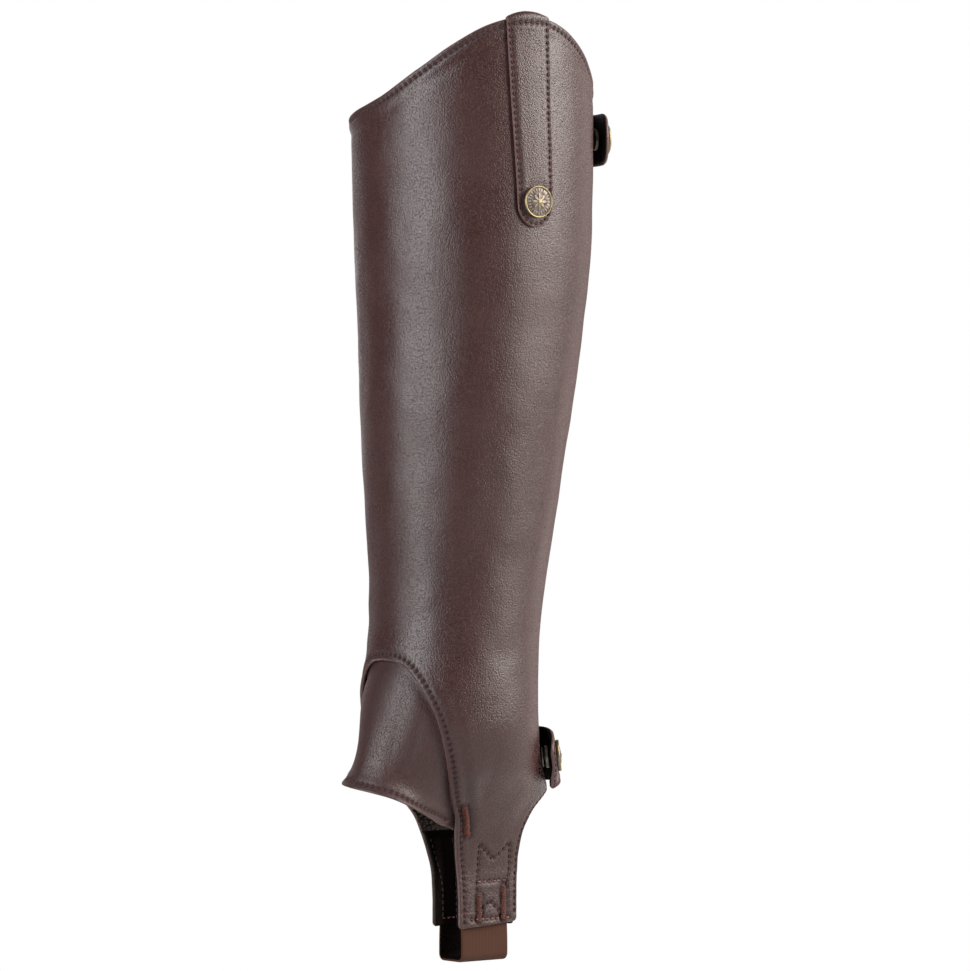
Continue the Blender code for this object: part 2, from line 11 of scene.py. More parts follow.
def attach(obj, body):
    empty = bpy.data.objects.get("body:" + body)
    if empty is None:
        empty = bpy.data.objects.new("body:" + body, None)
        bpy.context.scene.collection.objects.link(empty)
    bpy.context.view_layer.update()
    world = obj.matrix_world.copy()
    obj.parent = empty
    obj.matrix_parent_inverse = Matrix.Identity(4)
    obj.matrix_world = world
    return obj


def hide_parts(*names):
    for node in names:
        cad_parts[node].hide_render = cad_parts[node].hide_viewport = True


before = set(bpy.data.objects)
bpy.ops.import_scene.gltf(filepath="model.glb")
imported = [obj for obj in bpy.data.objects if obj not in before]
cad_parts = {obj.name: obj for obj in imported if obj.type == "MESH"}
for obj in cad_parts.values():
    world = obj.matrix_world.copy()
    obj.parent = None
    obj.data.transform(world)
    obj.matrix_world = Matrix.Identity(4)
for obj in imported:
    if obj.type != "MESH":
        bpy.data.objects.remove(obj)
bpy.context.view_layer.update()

calfLevel = 386.0           # height of the frame's origin


# Curves through tables, by the same rule as the solids

class Curve:
    def __init__(self, table):
        rows = np.array(table, float)
        self.at = rows[:, 0]
        self.value = rows[:, 1:]
        step = np.diff(self.value, axis=0)
        self.slope = np.empty_like(self.value)
        ends = step / np.diff(self.at)[:, None]
        self.slope[0] = ends[0]
        self.slope[-1] = ends[-1]
        both = (self.value[2:] - self.value[:-2]) / (self.at[2:] - self.at[:-2])[:, None]
        self.slope[1:-1] = np.where(step[:-1] * step[1:] > 0, both, 0.0)

    def __call__(self, at):
        at = np.clip(np.asarray(at, float), self.at[0], self.at[-1])
        row = np.clip(np.searchsorted(self.at, at, side="right") - 1, 0, len(self.at) - 2)
        span = (self.at[row + 1] - self.at[row])[..., None]
        t = (at - self.at[row])[..., None] / span
        return hermite(self.value[row], self.value[row + 1], self.slope[row] * span,
                       self.slope[row + 1] * span, t)


def hermite(start, end, startSlope, endSlope, t):
    return (start * (2 * t ** 3 - 3 * t ** 2 + 1) + startSlope * (t ** 3 - 2 * t ** 2 + t)
            + end * (3 * t ** 2 - 2 * t ** 3) + endSlope * (t ** 3 - t ** 2))


def smoothStep(low, high, at):
    t = np.clip((np.asarray(at, float) - low) / (high - low), 0.0, 1.0)
    return t * t * (3 - 2 * t)


def hump(at, middle, width):
    # 1 at the middle, fading to nothing over about twice the width
    return np.exp(-((np.asarray(at, float) - middle) / width) ** 2)


def unit(vectors):
    return vectors / np.maximum(np.linalg.norm(vectors, axis=-1, keepdims=True), 1e-9)


def runOf(points):
    # length along a line up to each of its points
    return np.concatenate([[0.0], np.cumsum(np.linalg.norm(np.diff(points, axis=0), axis=1))])


def curved(table, step):
    # a smooth line through points, divided evenly
    points = np.array(table, float)
    run = runOf(points)
    count = max(1, math.ceil(run[-1] / step))
    return Curve(np.column_stack([run, points]))(np.linspace(0, run[-1], count + 1))


# The leg's outer face: height, middle (Y), front half, back half, side half (X)
legSections = Curve((
    (0, 0.8, 60.0, 60.0, 11.9),
    (45, 0.8, 60.0, 60.0, 11.8),
    (55, -0.4, 57.0, 56.0, 13.0),
    (65, -2.5, 50.0, 49.5, 15.8),
    (75, -4.6, 44.0, 46.5, 20.4),
    (86, -9.0, 43.0, 51.8, 27.5),
    (100, -12.0, 45.5, 47.4, 37.0),
    (117, -13.4, 46.8, 43.8, 42.4),
    (133, -14.0, 46.9, 43.6, 43.0),
    (145, -13.6, 45.6, 43.3, 42.4),
    (157, -12.8, 43.6, 43.2, 41.8),
    (189, -10.2, 44.5, 44.5, 42.5),
    (221, -8.3, 47.8, 47.8, 45.5),
    (253, -6.1, 51.3, 51.3, 48.9),
    (285, -3.8, 54.9, 54.9, 52.3),
    (317, -1.5, 57.5, 57.5, 54.8),
    (349, -0.3, 60.0, 60.0, 57.1),
    (381, 0.0, 61.0, 61.0, 58.1),
    (421, -0.8, 61.6, 61.6, 58.7),
    (475, -1.0, 61.6, 61.6, 58.7),
))
# Top edge: angle, height
topEdge = Curve((
    (-180, 435.0), (-150, 431.0), (-110, 423.0), (-75, 419.5), (-45, 420.5), (-26, 422.5), (4, 429.0),
    (27, 441.8), (45, 454.0), (62, 463.4), (80, 467.4), (92, 466.4), (102, 463.0), (112, 457.5),
    (122, 451.0), (132, 444.0), (145, 438.5), (160, 436.0), (180, 435.0),
))
# Arch over the instep and front edge of each stirrup tab: angle, height
archTable = (
    (0, 152.5), (9, 152.0), (16, 150.8), (24, 147.5), (32, 141.6), (38, 135.0), (42.5, 128.5),
    (45.8, 121.5), (49.4, 111.0), (52.6, 101.0), (55.4, 91.0), (59.0, 80.0), (65.0, 68.0),
    (69.0, 56.5), (71.2, 45.0), (72.1, 32.0),
)
# Back edge of each stirrup tab and hem over the heel: angle, height
heelTable = (
    (107.8, 32.0), (108.2, 45.0), (110.4, 53.5), (115.5, 61.5), (123.0, 69.5), (134.0, 77.0),
    (146.0, 82.5), (160.0, 85.4),
)
panel = {"wall": 2.0, "heelHem": 86.0, "slotHalf": 4.0, "tabBottom": (18.2, 20.4), "corner": 2.2}
archEdge = Curve(archTable)
tabFront = Curve(sorted((height, angle) for angle, height in archTable))
tabBack = Curve(sorted((height, angle) for angle, height in heelTable))


def legSkin(angle, height):
    angle, height = np.broadcast_arrays(np.asarray(angle, float), np.asarray(height, float))
    middle, front, back, side = np.moveaxis(legSections(height), -1, 0)
    turn = np.radians(angle)
    reach = np.where(np.cos(turn) > 0, front, back)
    return np.stack([side * np.sin(turn), middle - reach * np.cos(turn), height], -1)


def steps(surface, angle, height, reach):
    # how far a surface runs with the angle and with the height, over twice the reach
    across = surface(angle + reach, height) - surface(angle - reach, height)
    up = surface(angle, height + reach) - surface(angle, height - reach)
    return across, up


def legNormal(angle, height):
    return unit(np.cross(*steps(legSkin, angle, height, 0.5)))


def legPoint(angle, height, out=0.0):
    angle, height = np.asarray(angle, float), np.asarray(height, float)
    return legSkin(angle, height) + legNormal(angle, height) * np.asarray(out, float)[..., None]


def archHeight(angle):
    return archEdge(np.abs(angle))[..., 0]


def topHeight(angle):
    return topEdge(angle)[..., 0]


def backAngle(distance, height):
    # angle whose point lies this far sideways from the zip's middle, towards the outer side
    return 180.0 - np.degrees(np.arcsin(distance / legSections(height)[..., 3]))


def sideAngle(y, height):
    # angle on the outer side whose point lies at this Y
    middle, front, back, _ = np.moveaxis(legSections(height), -1, 0)
    return np.degrees(np.arccos((middle - y) / np.where(y < middle, front, back)))


# Lines on a surface: rows of (angle, height), as arrays

def readOff(points, run, at):
    return np.column_stack([np.interp(at, run, column) for column in points.T])


def dense(line, step=0.25):
    points = np.array(line, float)
    run = runOf(points)
    return readOff(points, run, np.linspace(0, run[-1], max(2, math.ceil(run[-1] / step)) + 1))


def evenly(line, step, surface):
    # the same line with its points the same distance apart on the surface
    points = dense(line)
    run = runOf(surface(*points.T))
    return readOff(points, run, np.linspace(0, run[-1], max(1, round(run[-1] / step)) + 1))


def beside(line, distance, surface, closed=False):
    # the line moved to its left on the surface
    points = np.array(line, float)
    scale = np.column_stack([np.linalg.norm(step, axis=1) for step in steps(surface, *points.T, 0.5)])
    run = np.roll(points, -1, 0) - np.roll(points, 1, 0) if closed else np.gradient(points, axis=0)
    run = unit(run * scale)
    return points + np.column_stack([-run[:, 1], run[:, 0]]) * distance / scale


def ringed(line):
    # the same line with its first point added at its end
    return np.vstack([line, line[:1]])


def treeOf(points):
    tree = kdtree.KDTree(len(points))
    for k, point in enumerate(points):
        tree.insert(point, k)
    tree.balance()
    return tree


def nearest(tree, points):
    return np.array([tree.find(point)[2] for point in points])


def lineTree(lines, surface):
    # a tree of close points along the lines
    return treeOf(surface(*np.vstack([dense(line) for line in lines]).T))


def toLines(lines, surface, places):
    return nearest(lineTree(lines, surface), places)


def mirrored(line):
    return np.array(line, float) * (-1, 1)


def within(points, outline):
    x, y = points[:, 0], points[:, 1]
    inside = np.zeros(len(points), bool)
    for (a, b), (c, d) in zip(outline, np.roll(outline, -1, 0)):
        if b != d:
            inside ^= ((b > y) != (d > y)) & (x < a + (c - a) * (y - b) / (d - b))
    return inside


# Cloth: triangles inside an outline, finer along its edge and along the sewn rows

edgeStep = 1.3                          # longest spacing along an edge
edgeShares = (0.13, 0.5, 1.0)           # lines inside the edge, as shares of its rounding's radius


def cutCloth(outline, surface, step, wall, rows=(), flanks=(0.8, 1.7)):
    outline = np.array(outline, float)
    edge = evenly(ringed(outline), min(step, edgeStep), surface)[:-1]
    edgeTree = lineTree([ringed(edge)], surface)
    kept = [edge]
    radius = wall / 2

    def add(points, room, clearOf=None):
        points = points[within(points, edge)]
        points = points[nearest(edgeTree, surface(*points.T)) > room]
        if clearOf:
            tree = treeOf(surface(*np.vstack(kept).T))
            points = points[nearest(tree, surface(*points.T)) > clearOf]
        kept.append(points)

    for share in edgeShares:
        add(beside(edge, share * radius, surface, closed=True), share * radius * 0.93)
    halves = [evenly(row["line"], row["pitch"] / 2, surface) for row in rows]
    for half in halves:
        add(half, radius * 1.25, 0.3)
    for row, half in zip(rows, halves):
        for flank in row.get("flanks", flanks):
            for side in (-1, 1):
                add(beside(half, side * flank, surface), radius * 1.25, 0.45)
    low, high = edge.min(0), edge.max(0)
    grid = []
    for k, height in enumerate(np.arange(low[1], high[1], step * 0.866)):
        start = low[0] + (k % 2) * step / 2
        grid += [(angle, height) for angle in np.arange(start, high[0], step)]
    add(np.array(grid), radius * 1.3, step * 0.5)
    spots = [Vector(p) for p in np.vstack(kept)]
    made = geometry.delaunay_2d_cdt(spots, [], [list(range(len(edge)))], 1, 1e-6)
    points, faces = np.array([tuple(p) for p in made[0]]), np.array([list(face) for face in made[2]])
    one, two, three = np.moveaxis(points[faces], 1, 0)
    area = np.cross(two - one, three - one)
    faces[area < 0] = faces[area < 0][:, ::-1]
    faces = faces[np.abs(area) > 1e-7]
    places = surface(*points.T)
    away = nearest(edgeTree, places)
    known = {tuple(side) for side in np.vstack([faces[:, [0, 1]], faces[:, [1, 2]], faces[:, [2, 0]]])}
    border = np.zeros(len(points), bool)
    border[[end for side in known if side[::-1] not in known for end in side]] = True
    away[border] = 0.0
    return {"points": points, "faces": faces, "places": places, "away": away, "border": border}


def sewnRelief(cloth, rows, surface, groove=0.10, pit=0.75, puff=0.2):
    # how the outer layer sinks under each stitch and stands up beside the row
    toRow = toLines([row["line"] for row in rows], surface, cloth["places"])
    middles = np.vstack([evenly(row["line"], row["pitch"] / 2, surface)[1::2] for row in rows])
    toPit = nearest(treeOf(surface(*middles.T)), cloth["places"])
    relief = puff * hump(toRow, 2.4, 1.3) - groove * hump(toRow, 0, 0.9) - pit * hump(toPit, 0, 1.0)
    relief += puff * hump(toRow, 0, 1.1) * (1 - hump(toPit, 0, 1.3))
    # the second value masks painted shade in the needle holes and along the row
    return relief, np.minimum(1.1 * hump(toPit, 0, 1.2) + 0.2 * hump(toRow, 0, 0.9), 1.0)


def layShell(name, cloth, surface, wall, lookNames, fold=0.0, relief=0.0, seam=0.0, turnIn=1.6):
    # an outer and an inner layer that meet in a rounded edge; the fold moves both, the relief the outer
    away, border, faces = cloth["away"], cloth["border"], cloth["faces"]
    low, high = wall
    count, radius = len(away), (high - low) / 2
    drop = radius - np.sqrt(np.maximum(radius ** 2 - (radius - np.minimum(away, radius)) ** 2, 0.0))
    raised = relief * smoothStep(0.0, radius * 1.2, away)
    outer = surface(*cloth["points"].T, high - drop + fold + raised)
    inner = surface(*cloth["points"].T, low + drop + fold)
    free = np.flatnonzero(~border)
    lower = np.arange(count)
    lower[free] = count + np.arange(len(free))
    lined = away[faces].max(axis=1) > (turnIn + 0 * away)[faces].max(axis=1)
    # the seam mask on the outer layer carries painted shade for holes, rows and bar tacks
    values = {"away": np.concatenate([away, away[free]]),
              "seam": np.concatenate([seam + 0 * away, 0 * away[free]])}
    places, allFaces = np.vstack([outer, inner[free]]), np.vstack([faces, lower[faces][:, ::-1]])
    return newMesh(name, places, allFaces, lookNames, np.concatenate([0 * lined, lined]), values)


# Meshes

def placed(name, data):
    made = bpy.data.objects.new(name, data)
    bpy.context.scene.collection.objects.link(made)
    return made


def newMesh(name, places, faces, lookNames, faceLooks=None, values=None):
    mesh = bpy.data.meshes.new(name)
    inMetres = (np.asarray(places, float) - (0, 0, calfLevel)) * 0.001
    mesh.from_pydata(inMetres.tolist(), [], [list(map(int, face)) for face in faces])
    for look in lookNames:
        mesh.materials.append(looks[look])
    if faceLooks is not None:
        mesh.polygons.foreach_set("material_index", np.asarray(faceLooks, np.int32))
    for key, numbers in (values or {}).items():
        layer = mesh.attributes.new(key, "FLOAT", "POINT")
        layer.data.foreach_set("value", np.asarray(numbers, np.float32))
    mesh.shade_smooth()
    mesh.update()
    return placed(name, mesh)


def lofted(count, size):
    # faces between rings of points, with both ends closed
    faces = []
    for ring in range(count - 1):
        for k in range(size):
            a, b = ring * size + k, ring * size + (k + 1) % size
            faces.append((a, b, b + size, a + size))
    last = (count - 1) * size
    return faces + [tuple(range(size))[::-1], tuple(range(last, last + size))]


def setOn(piece, nodes=()):
    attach(piece, "chap")
    if nodes:
        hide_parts(*nodes)
    return piece


# Thread: one short capsule for each stitch

pitch = 3.1
threadShape = {"radius": 0.38, "sides": 6, "trim": 0.52, "dive": 0.28, "lift": -0.22, "tip": 0.3,
               "shares": (0.0, 0.12, 0.5, 0.88, 1.0), "widths": (0.45, 0.9, 1.0, 0.9, 0.45)}
tackShape = {"radius": 0.43, "dive": 0.5, "width": 3.3, "spacing": 0.82, "out": 0.16, "ragged": 0.25,
             "slant": 0.22}


def capsules(starts, ends, normals, radius, dive):
    sides, tip = threadShape["sides"], threadShape["tip"] * radius
    along = unit(ends - starts)
    across = unit(np.cross(along, normals))
    up = np.cross(across, along)
    rings = []
    for share, width in zip(threadShape["shares"], threadShape["widths"]):
        centre = starts + (ends - starts) * share - up * dive * abs(2 * share - 1) ** 3
        for k in range(sides):
            turn = math.tau * k / sides
            rings.append(centre + (across * math.cos(turn) + up * math.sin(turn)) * radius * width)
    tips = [starts - up * dive - along * tip, ends - up * dive + along * tip]
    places = np.stack(rings + tips, 1)
    count, size = places.shape[:2]
    faces = [face[::-1] for face in lofted(len(threadShape["shares"]), sides)[:-2]]
    top = size - 2 - sides
    for k in range(sides):
        after = (k + 1) % sides
        faces += [(size - 2, k, after), (size - 1, top + after, top + k)]
    return places.reshape(-1, 3), [tuple(v + n * size for v in face) for n in range(count) for face in faces]


def surfaceNormals(line, surface):
    return unit(np.cross(*steps(surface, *line.T, 0.3)))


def stitchRun(line, surface, out):
    holes = evenly(line, pitch, surface)
    places = surface(*holes.T, out)
    normals = surfaceNormals(holes, surface)
    trim = unit(places[1:] - places[:-1]) * threadShape["trim"]
    return places[:-1] + trim, places[1:] - trim, unit(normals[:-1] + normals[1:])


def insideOut(run):
    # the same stitches seen from the other side of the cloth
    starts, ends, normals = run
    return starts, ends, -normals


def sew(name, runs, look, shape=threadShape):
    # runs of (starts, ends, normals) joined in one mesh
    starts, ends, normals = (np.vstack(column) for column in zip(*runs))
    places, faces = capsules(starts, ends, normals, shape["radius"], shape["dive"])
    return setOn(newMesh(name, places, faces, [look]))


def asRows(lines, **more):
    return [{"line": line, "pitch": pitch, **more} for line in lines]


def sewRows(name, rows, surface):
    return sew(name, [stitchRun(row["line"], surface, threadShape["lift"]) for row in rows], "thread")


def tackRun(low, high):
    # close stitches across a line, as a bar tack is sewn
    middle = evenly([low, high], tackShape["spacing"], legPoint)
    left, right = (beside(middle, side * tackShape["width"] / 2, legPoint) for side in (1, -1))
    ragged, slant = (np.array([noise.noise((k * 1.7, row, 0.0)) for k in range(len(middle))])
                     for row in (0.5, 9.5))
    starts = legPoint(*left.T, tackShape["out"] + tackShape["ragged"] * ragged)
    ends = legPoint(*right.T, tackShape["out"] - tackShape["ragged"] * ragged)
    reach = (ends - starts) * (tackShape["slant"] * slant)[:, None]
    return starts + reach, ends + reach, surfaceNormals(middle, legPoint)


# Shader maths

class Wire:
    # one output socket; an expression on wires adds Math nodes
    def __init__(self, look, socket):
        self.look, self.socket = look, socket

    def maths(self, operation, *values):
        return self.look.add("ShaderNodeMath", {"operation": operation}, dict(enumerate(values)))

    def __add__(self, other):
        return self.maths("ADD", self, other)

    def __sub__(self, other):
        return self.maths("SUBTRACT", self, other)

    def __rsub__(self, other):
        return self.maths("SUBTRACT", other, self)

    def __mul__(self, other):
        return self.maths("MULTIPLY", self, other)

    __radd__ = __add__
    __rmul__ = __mul__


class Look:
    # a material under construction
    def __init__(self, name, **settings):
        self.material = bpy.data.materials.new(name)
        self.material.use_nodes = True
        self.tree = self.material.node_tree
        self.shader = self.tree.nodes["Principled BSDF"]
        for key, value in settings.items():
            self.shader.inputs[key.replace("_", " ")].default_value = value

    def add(self, kind, settings=None, sockets=None, output=0):
        node = self.tree.nodes.new(kind)
        for key, value in (settings or {}).items():
            if key == "stops":
                self.setStops(node.color_ramp, value)
            else:
                setattr(node, key, value)
        for key, value in (sockets or {}).items():
            if isinstance(value, Wire):
                self.tree.links.new(value.socket, node.inputs[key])
            elif value is not None:
                node.inputs[key].default_value = value
        return Wire(self, node.outputs[output])

    def setStops(self, ramp, stops):
        while len(ramp.elements) > 1:
            ramp.elements.remove(ramp.elements[-1])
        for k, (at, shade) in enumerate(stops):
            stop = ramp.elements[0] if k == 0 else ramp.elements.new(at)
            stop.position = at
            stop.color = (shade, shade, shade, 1.0) if isinstance(shade, (int, float)) else (*shade, 1.0)

    def feed(self, **sockets):
        for key, wire in sockets.items():
            self.tree.links.new(wire.socket, self.shader.inputs[key.replace("_", " ")])
        return self.material

    def place(self, scale=(1.0, 1.0, 1.0)):
        # the piece's own coordinates, in metres, stretched by the scale
        coords = self.add("ShaderNodeTexCoord", output="Object")
        return self.add("ShaderNodeMapping", None, {"Vector": coords, "Scale": scale})

    def stored(self, name):
        return self.add("ShaderNodeAttribute", {"attribute_name": name}, output="Fac")

    def grain(self, scale, detail=3.0, rough=0.55, at=None):
        sockets = {"Vector": at or self.place(), "Scale": scale, "Detail": detail, "Roughness": rough}
        return self.add("ShaderNodeTexNoise", None, sockets)

    def cells(self, scale, at):
        return self.add("ShaderNodeTexVoronoi", None, {"Vector": at, "Scale": scale})

    def wave(self, direction, scale, distortion, detail, at=None):
        sockets = {"Vector": at or self.place(), "Scale": scale, "Distortion": distortion, "Detail": detail}
        return self.add("ShaderNodeTexWave", {"bands_direction": direction}, sockets)

    def ramp(self, wire, *stops):
        return self.add("ShaderNodeValToRGB", {"stops": stops}, {"Fac": wire})

    def mix(self, factor, first, second):
        colours = [c if isinstance(c, Wire) else (*c, 1.0) for c in (first, second)]
        return self.add("ShaderNodeMix", {"data_type": "RGBA"}, {0: factor, 6: colours[0], 7: colours[1]}, 2)

    def vector(self, operation, first, sockets):
        return self.add("ShaderNodeVectorMath", {"operation": operation}, {0: first, **sockets})

    def bump(self, height, strength, distance, under=None):
        sockets = {"Height": height, "Strength": strength, "Distance": distance, "Normal": under}
        return self.add("ShaderNodeBump", None, sockets)


# the edge colour is partly edge wear and partly a painted highlight; the pit colour is painted shade
leatherFinish = {
    "dark": (0.0110, 0.0036, 0.0034), "middle": (0.0185, 0.0062, 0.0057), "light": (0.034, 0.0145, 0.0130),
    "edge": (0.078, 0.041, 0.035), "pit": (0.0050, 0.0007, 0.0007), "cell": 0.00074, "warp": 0.0004,
    "sheenTint": (1.0, 0.60, 0.56, 1.0),
}


def leatherLook(name, roughness):
    # pebbles in two sizes over soft wrinkles, with painted shade in their valleys; lighter along cut edges,
    # partly edge wear and partly a painted highlight; painted shade in the needle holes and along the sewn
    # rows
    finish = leatherFinish
    look = Look(name, Specular_IOR_Level=0.28, Sheen_Weight=0.10, Sheen_Roughness=0.35,
                Sheen_Tint=finish["sheenTint"])
    at = look.place()
    wavy = look.vector("SCALE", look.grain(900.0, 2.0, at=at), {"Scale": finish["warp"]})
    warped = look.vector("ADD", at, {1: wavy})
    big, small = (look.cells(scale / finish["cell"], warped) for scale in (1.0, 1.75))
    domes = 1 - big * big * 1.3
    uneven = look.grain(700.0, 3.0, 0.6, at)
    wrinkle = look.grain(210.0, 4.0, 0.6, look.place((1.0, 1.0, 0.35)))
    cloudy = look.grain(30.0, 4.0, 0.6, at)
    patches = look.grain(9.0, 2.0, 0.5, look.place((1.0, 1.0, 0.5)))
    away, seam = look.stored("away"), look.stored("seam")
    tone = look.ramp(cloudy * 0.6 + patches * 0.4, (0.36, finish["dark"]), (0.52, finish["middle"]),
                     (0.70, finish["light"]))
    tone = look.mix(0.6, tone, finish["middle"])
    # painted shade in the valleys between the pebbles
    tone = look.mix(look.ramp(domes, (0.35, 0.75), (0.75, 0.0)), tone, finish["dark"])
    tone = look.mix(look.ramp(uneven, (0.45, 0.0), (0.75, 0.5)), tone, finish["light"])
    # lighter along the cut edges: partly edge wear, partly a painted highlight on the lit edge
    rubbedAndLitEdge = look.ramp(away, (0.0, 1.0), (0.45, 0.5), (0.9, 0.0))
    tone = look.mix(rubbedAndLitEdge * (0.35 + wrinkle * 0.4), tone, finish["edge"])
    # painted shade in the needle holes, along the sewn rows and beside the bar tacks
    tone = look.mix(seam * 0.95, tone, finish["pit"])
    rough = roughness + look.ramp(domes, (0.3, 0.22), (0.8, 0.0)) + (cloudy - 0.5) * 0.2 + seam * 0.7
    soft = look.bump(wrinkle, 0.2, 0.0006)
    close = look.bump(domes * 0.50 - small * 0.25 + uneven * 0.06, 0.74, 0.00028, soft)
    return look.feed(Base_Color=tone, Roughness=rough, Normal=close)


# dark and light tone, shine, depth of the nap, roughness, height under which the lining is darker, duller and
# flatter
linings = {
    "lining": ((0.0010, 0.0004, 0.0003), (0.026, 0.0138, 0.0102), 0.55, 0.00090, 0.28, 60.0),
    "facing": ((0.0008, 0.0003, 0.0002), (0.0030, 0.0014, 0.0012), 0.04, 0.00012, 0.65, None),
    "tab_lining": ((0.0030, 0.0020, 0.0020), (0.0110, 0.0080, 0.0085), 0.12, 0.00012, 0.45, None),
}


def liningLook(name, dark, light, shine, depth, roughness, darkFlatBelow):
    look = Look(name, Specular_IOR_Level=shine, Specular_Tint=(1.0, 0.80, 0.72, 1.0))
    at = look.place()
    pebbles = 1 - look.cells(640.0, at)
    fine = look.grain(2500.0, at=at)
    tone = look.mix(look.ramp(pebbles, (0.3, 0.0), (0.8, 1.0)), dark, light)
    tone = look.mix(look.ramp(look.grain(40.0, at=at), (0.4, 0.0), (0.7, 0.6)), tone, dark)
    rough = roughness + fine * 0.2
    nap = pebbles + fine * 0.2
    if darkFlatBelow:
        up = look.add("ShaderNodeSeparateXYZ", None, {0: at}, 2)
        under = (darkFlatBelow - calfLevel) * 0.001
        # below that height the lining turns near black, duller and flatter
        pressed = look.ramp((up - under) * 125.0, (0.0, 1.0), (1.0, 0.0))
        tone = look.mix(pressed, tone, dark)
        rough = rough + pressed * 0.4
        nap = nap * (1 - pressed * 0.85)
    return look.feed(Base_Color=tone, Roughness=rough, Normal=look.bump(nap, 0.9, depth))


elasticTones = ((0.0225, 0.0074, 0.0034), (0.042, 0.0155, 0.0078), (0.0270, 0.0090, 0.0044))


def elasticLook():
    look = Look("elastic", Specular_IOR_Level=0.1, Sheen_Weight=0.04, Sheen_Roughness=0.5)
    fuzz = look.grain(3500.0)
    weave = look.wave("Y", 150.0, 0.9, 2.0) * 0.16 + look.wave("Z", 640.0, 0.7, 1.0) * 0.25 + fuzz * 0.6
    tone = look.mix(look.ramp(weave, (0.2, 0.0), (0.95, 1.0)), *elasticTones[:2])
    tone = look.mix(look.ramp(look.grain(60.0, 3.0), (0.4, 0.0), (0.7, 0.5)), tone, elasticTones[2])
    return look.feed(Base_Color=tone, Roughness=0.66 + fuzz * 0.2, Normal=look.bump(weave, 0.5, 0.00022))


# dark and light tone
threads = {
    "thread": ((0.010, 0.0011, 0.0013), (0.048, 0.0056, 0.0070)),
    # lighter thread: a painted highlight on rows that catch the light
    "lit_thread": ((0.014, 0.0022, 0.0024), (0.200, 0.088, 0.078)),
    # darker thread: painted shade on the rows inside the chap
    "shade_painted_thread": ((0.0020, 0.0005, 0.0005), (0.0090, 0.0020, 0.0022)),
    "tack_thread": ((0.010, 0.0016, 0.0008), (0.072, 0.0150, 0.0080)),
}


def threadLook(name, dark, light):
    look = Look(name, Specular_IOR_Level=0.15, Sheen_Weight=0.05)
    twist = look.grain(1500.0, 2.0)
    tone = look.mix(look.ramp(twist, (0.42, 0.0), (0.60, 1.0)), dark, light)
    return look.feed(Base_Color=tone, Roughness=0.5 + twist * 0.25, Normal=look.bump(twist, 0.6, 0.00015))


# stain in the hollows, dull metal, rubbed metal
brassTones = ((0.0, (0.030, 0.022, 0.020)), (0.35, (0.110, 0.098, 0.088)), (1.0, (0.160, 0.128, 0.068)))


def brassLook(name, wear=None):
    # the wear is the one stored on the mesh, or the same all over
    look = Look(name, Metallic=1.0)
    wear = look.grain(90.0) * 0.3 + wear if wear else look.stored("wear")
    cloudy = look.grain(420.0, 4.0)
    fine = look.grain(2600.0, 3.0)
    bright = look.ramp(wear + (cloudy - 0.5) * 0.6, (0.25, 0.0), (0.8, 1.0))
    tone = look.ramp(bright, *brassTones)
    tone = look.mix(look.ramp(fine, (0.55, 0.0), (0.75, 0.5)), tone, (0.060, 0.046, 0.038))
    rough = 0.50 - bright * 0.14 + fine * 0.12
    return look.feed(Base_Color=tone, Roughness=rough, Normal=look.bump(fine, 0.25, 0.00008))


tapeTones = ((0.0035, 0.0018, 0.0016), (0.021, 0.0120, 0.0105))


def tapeLook():
    look = Look("zip_tape", Specular_IOR_Level=0.2, Sheen_Weight=0.2)
    fuzz = look.grain(2200.0)
    twill = look.wave("DIAGONAL", 230.0, 0.6, 1.0, look.place((1.0, 0.0, 0.7)))
    weave = twill * 0.45 + look.wave("X", 92.0, 0.4, 1.0) * 0.45 + fuzz * 0.5
    tone = look.mix(look.ramp(weave, (0.3, 0.0), (1.1, 1.0)), *tapeTones)
    return look.feed(Base_Color=tone, Roughness=0.75 + fuzz * 0.15, Normal=look.bump(weave, 0.6, 0.0002))


looks = {"leather": leatherLook("leather", 0.23), "vamp_leather": leatherLook("vamp_leather", 0.37),
         "elastic": elasticLook(), "tape": tapeLook(),
         "brass": brassLook("antique_brass"), "zip_brass": brassLook("zip_brass", 0.45)}
looks.update({name: liningLook(name, *row) for name, row in linings.items()})
looks.update({name: threadLook(name, *row) for name, row in threads.items()})
print("materials made")

# Camera at the photograph's angle

shot = {"azimuth": 51.5, "distance": 2.4, "side": 0.00585, "level": -0.14775, "view": 0.485}
turn = math.radians(shot["azimuth"])
towards = Vector((math.sin(turn), -math.cos(turn), 0.0))
rightward = Vector((math.cos(turn), math.sin(turn), 0.0))
camera = placed("camera", bpy.data.cameras.new("camera"))
axes = Matrix((rightward, Vector((0, 0, 1)), towards)).transposed().to_4x4()
spot = towards * shot["distance"] + rightward * shot["side"] + Vector((0, 0, shot["level"]))
camera.matrix_world = Matrix.Translation(spot) @ axes
camera.data.sensor_width = 36.0
camera.data.lens = 36.0 * shot["distance"] / shot["view"]
bpy.context.scene.camera = camera


# Leg panel

rowInset = {"top": 3.0, "front": 3.1, "back": 1.6, "slot": 2.4}


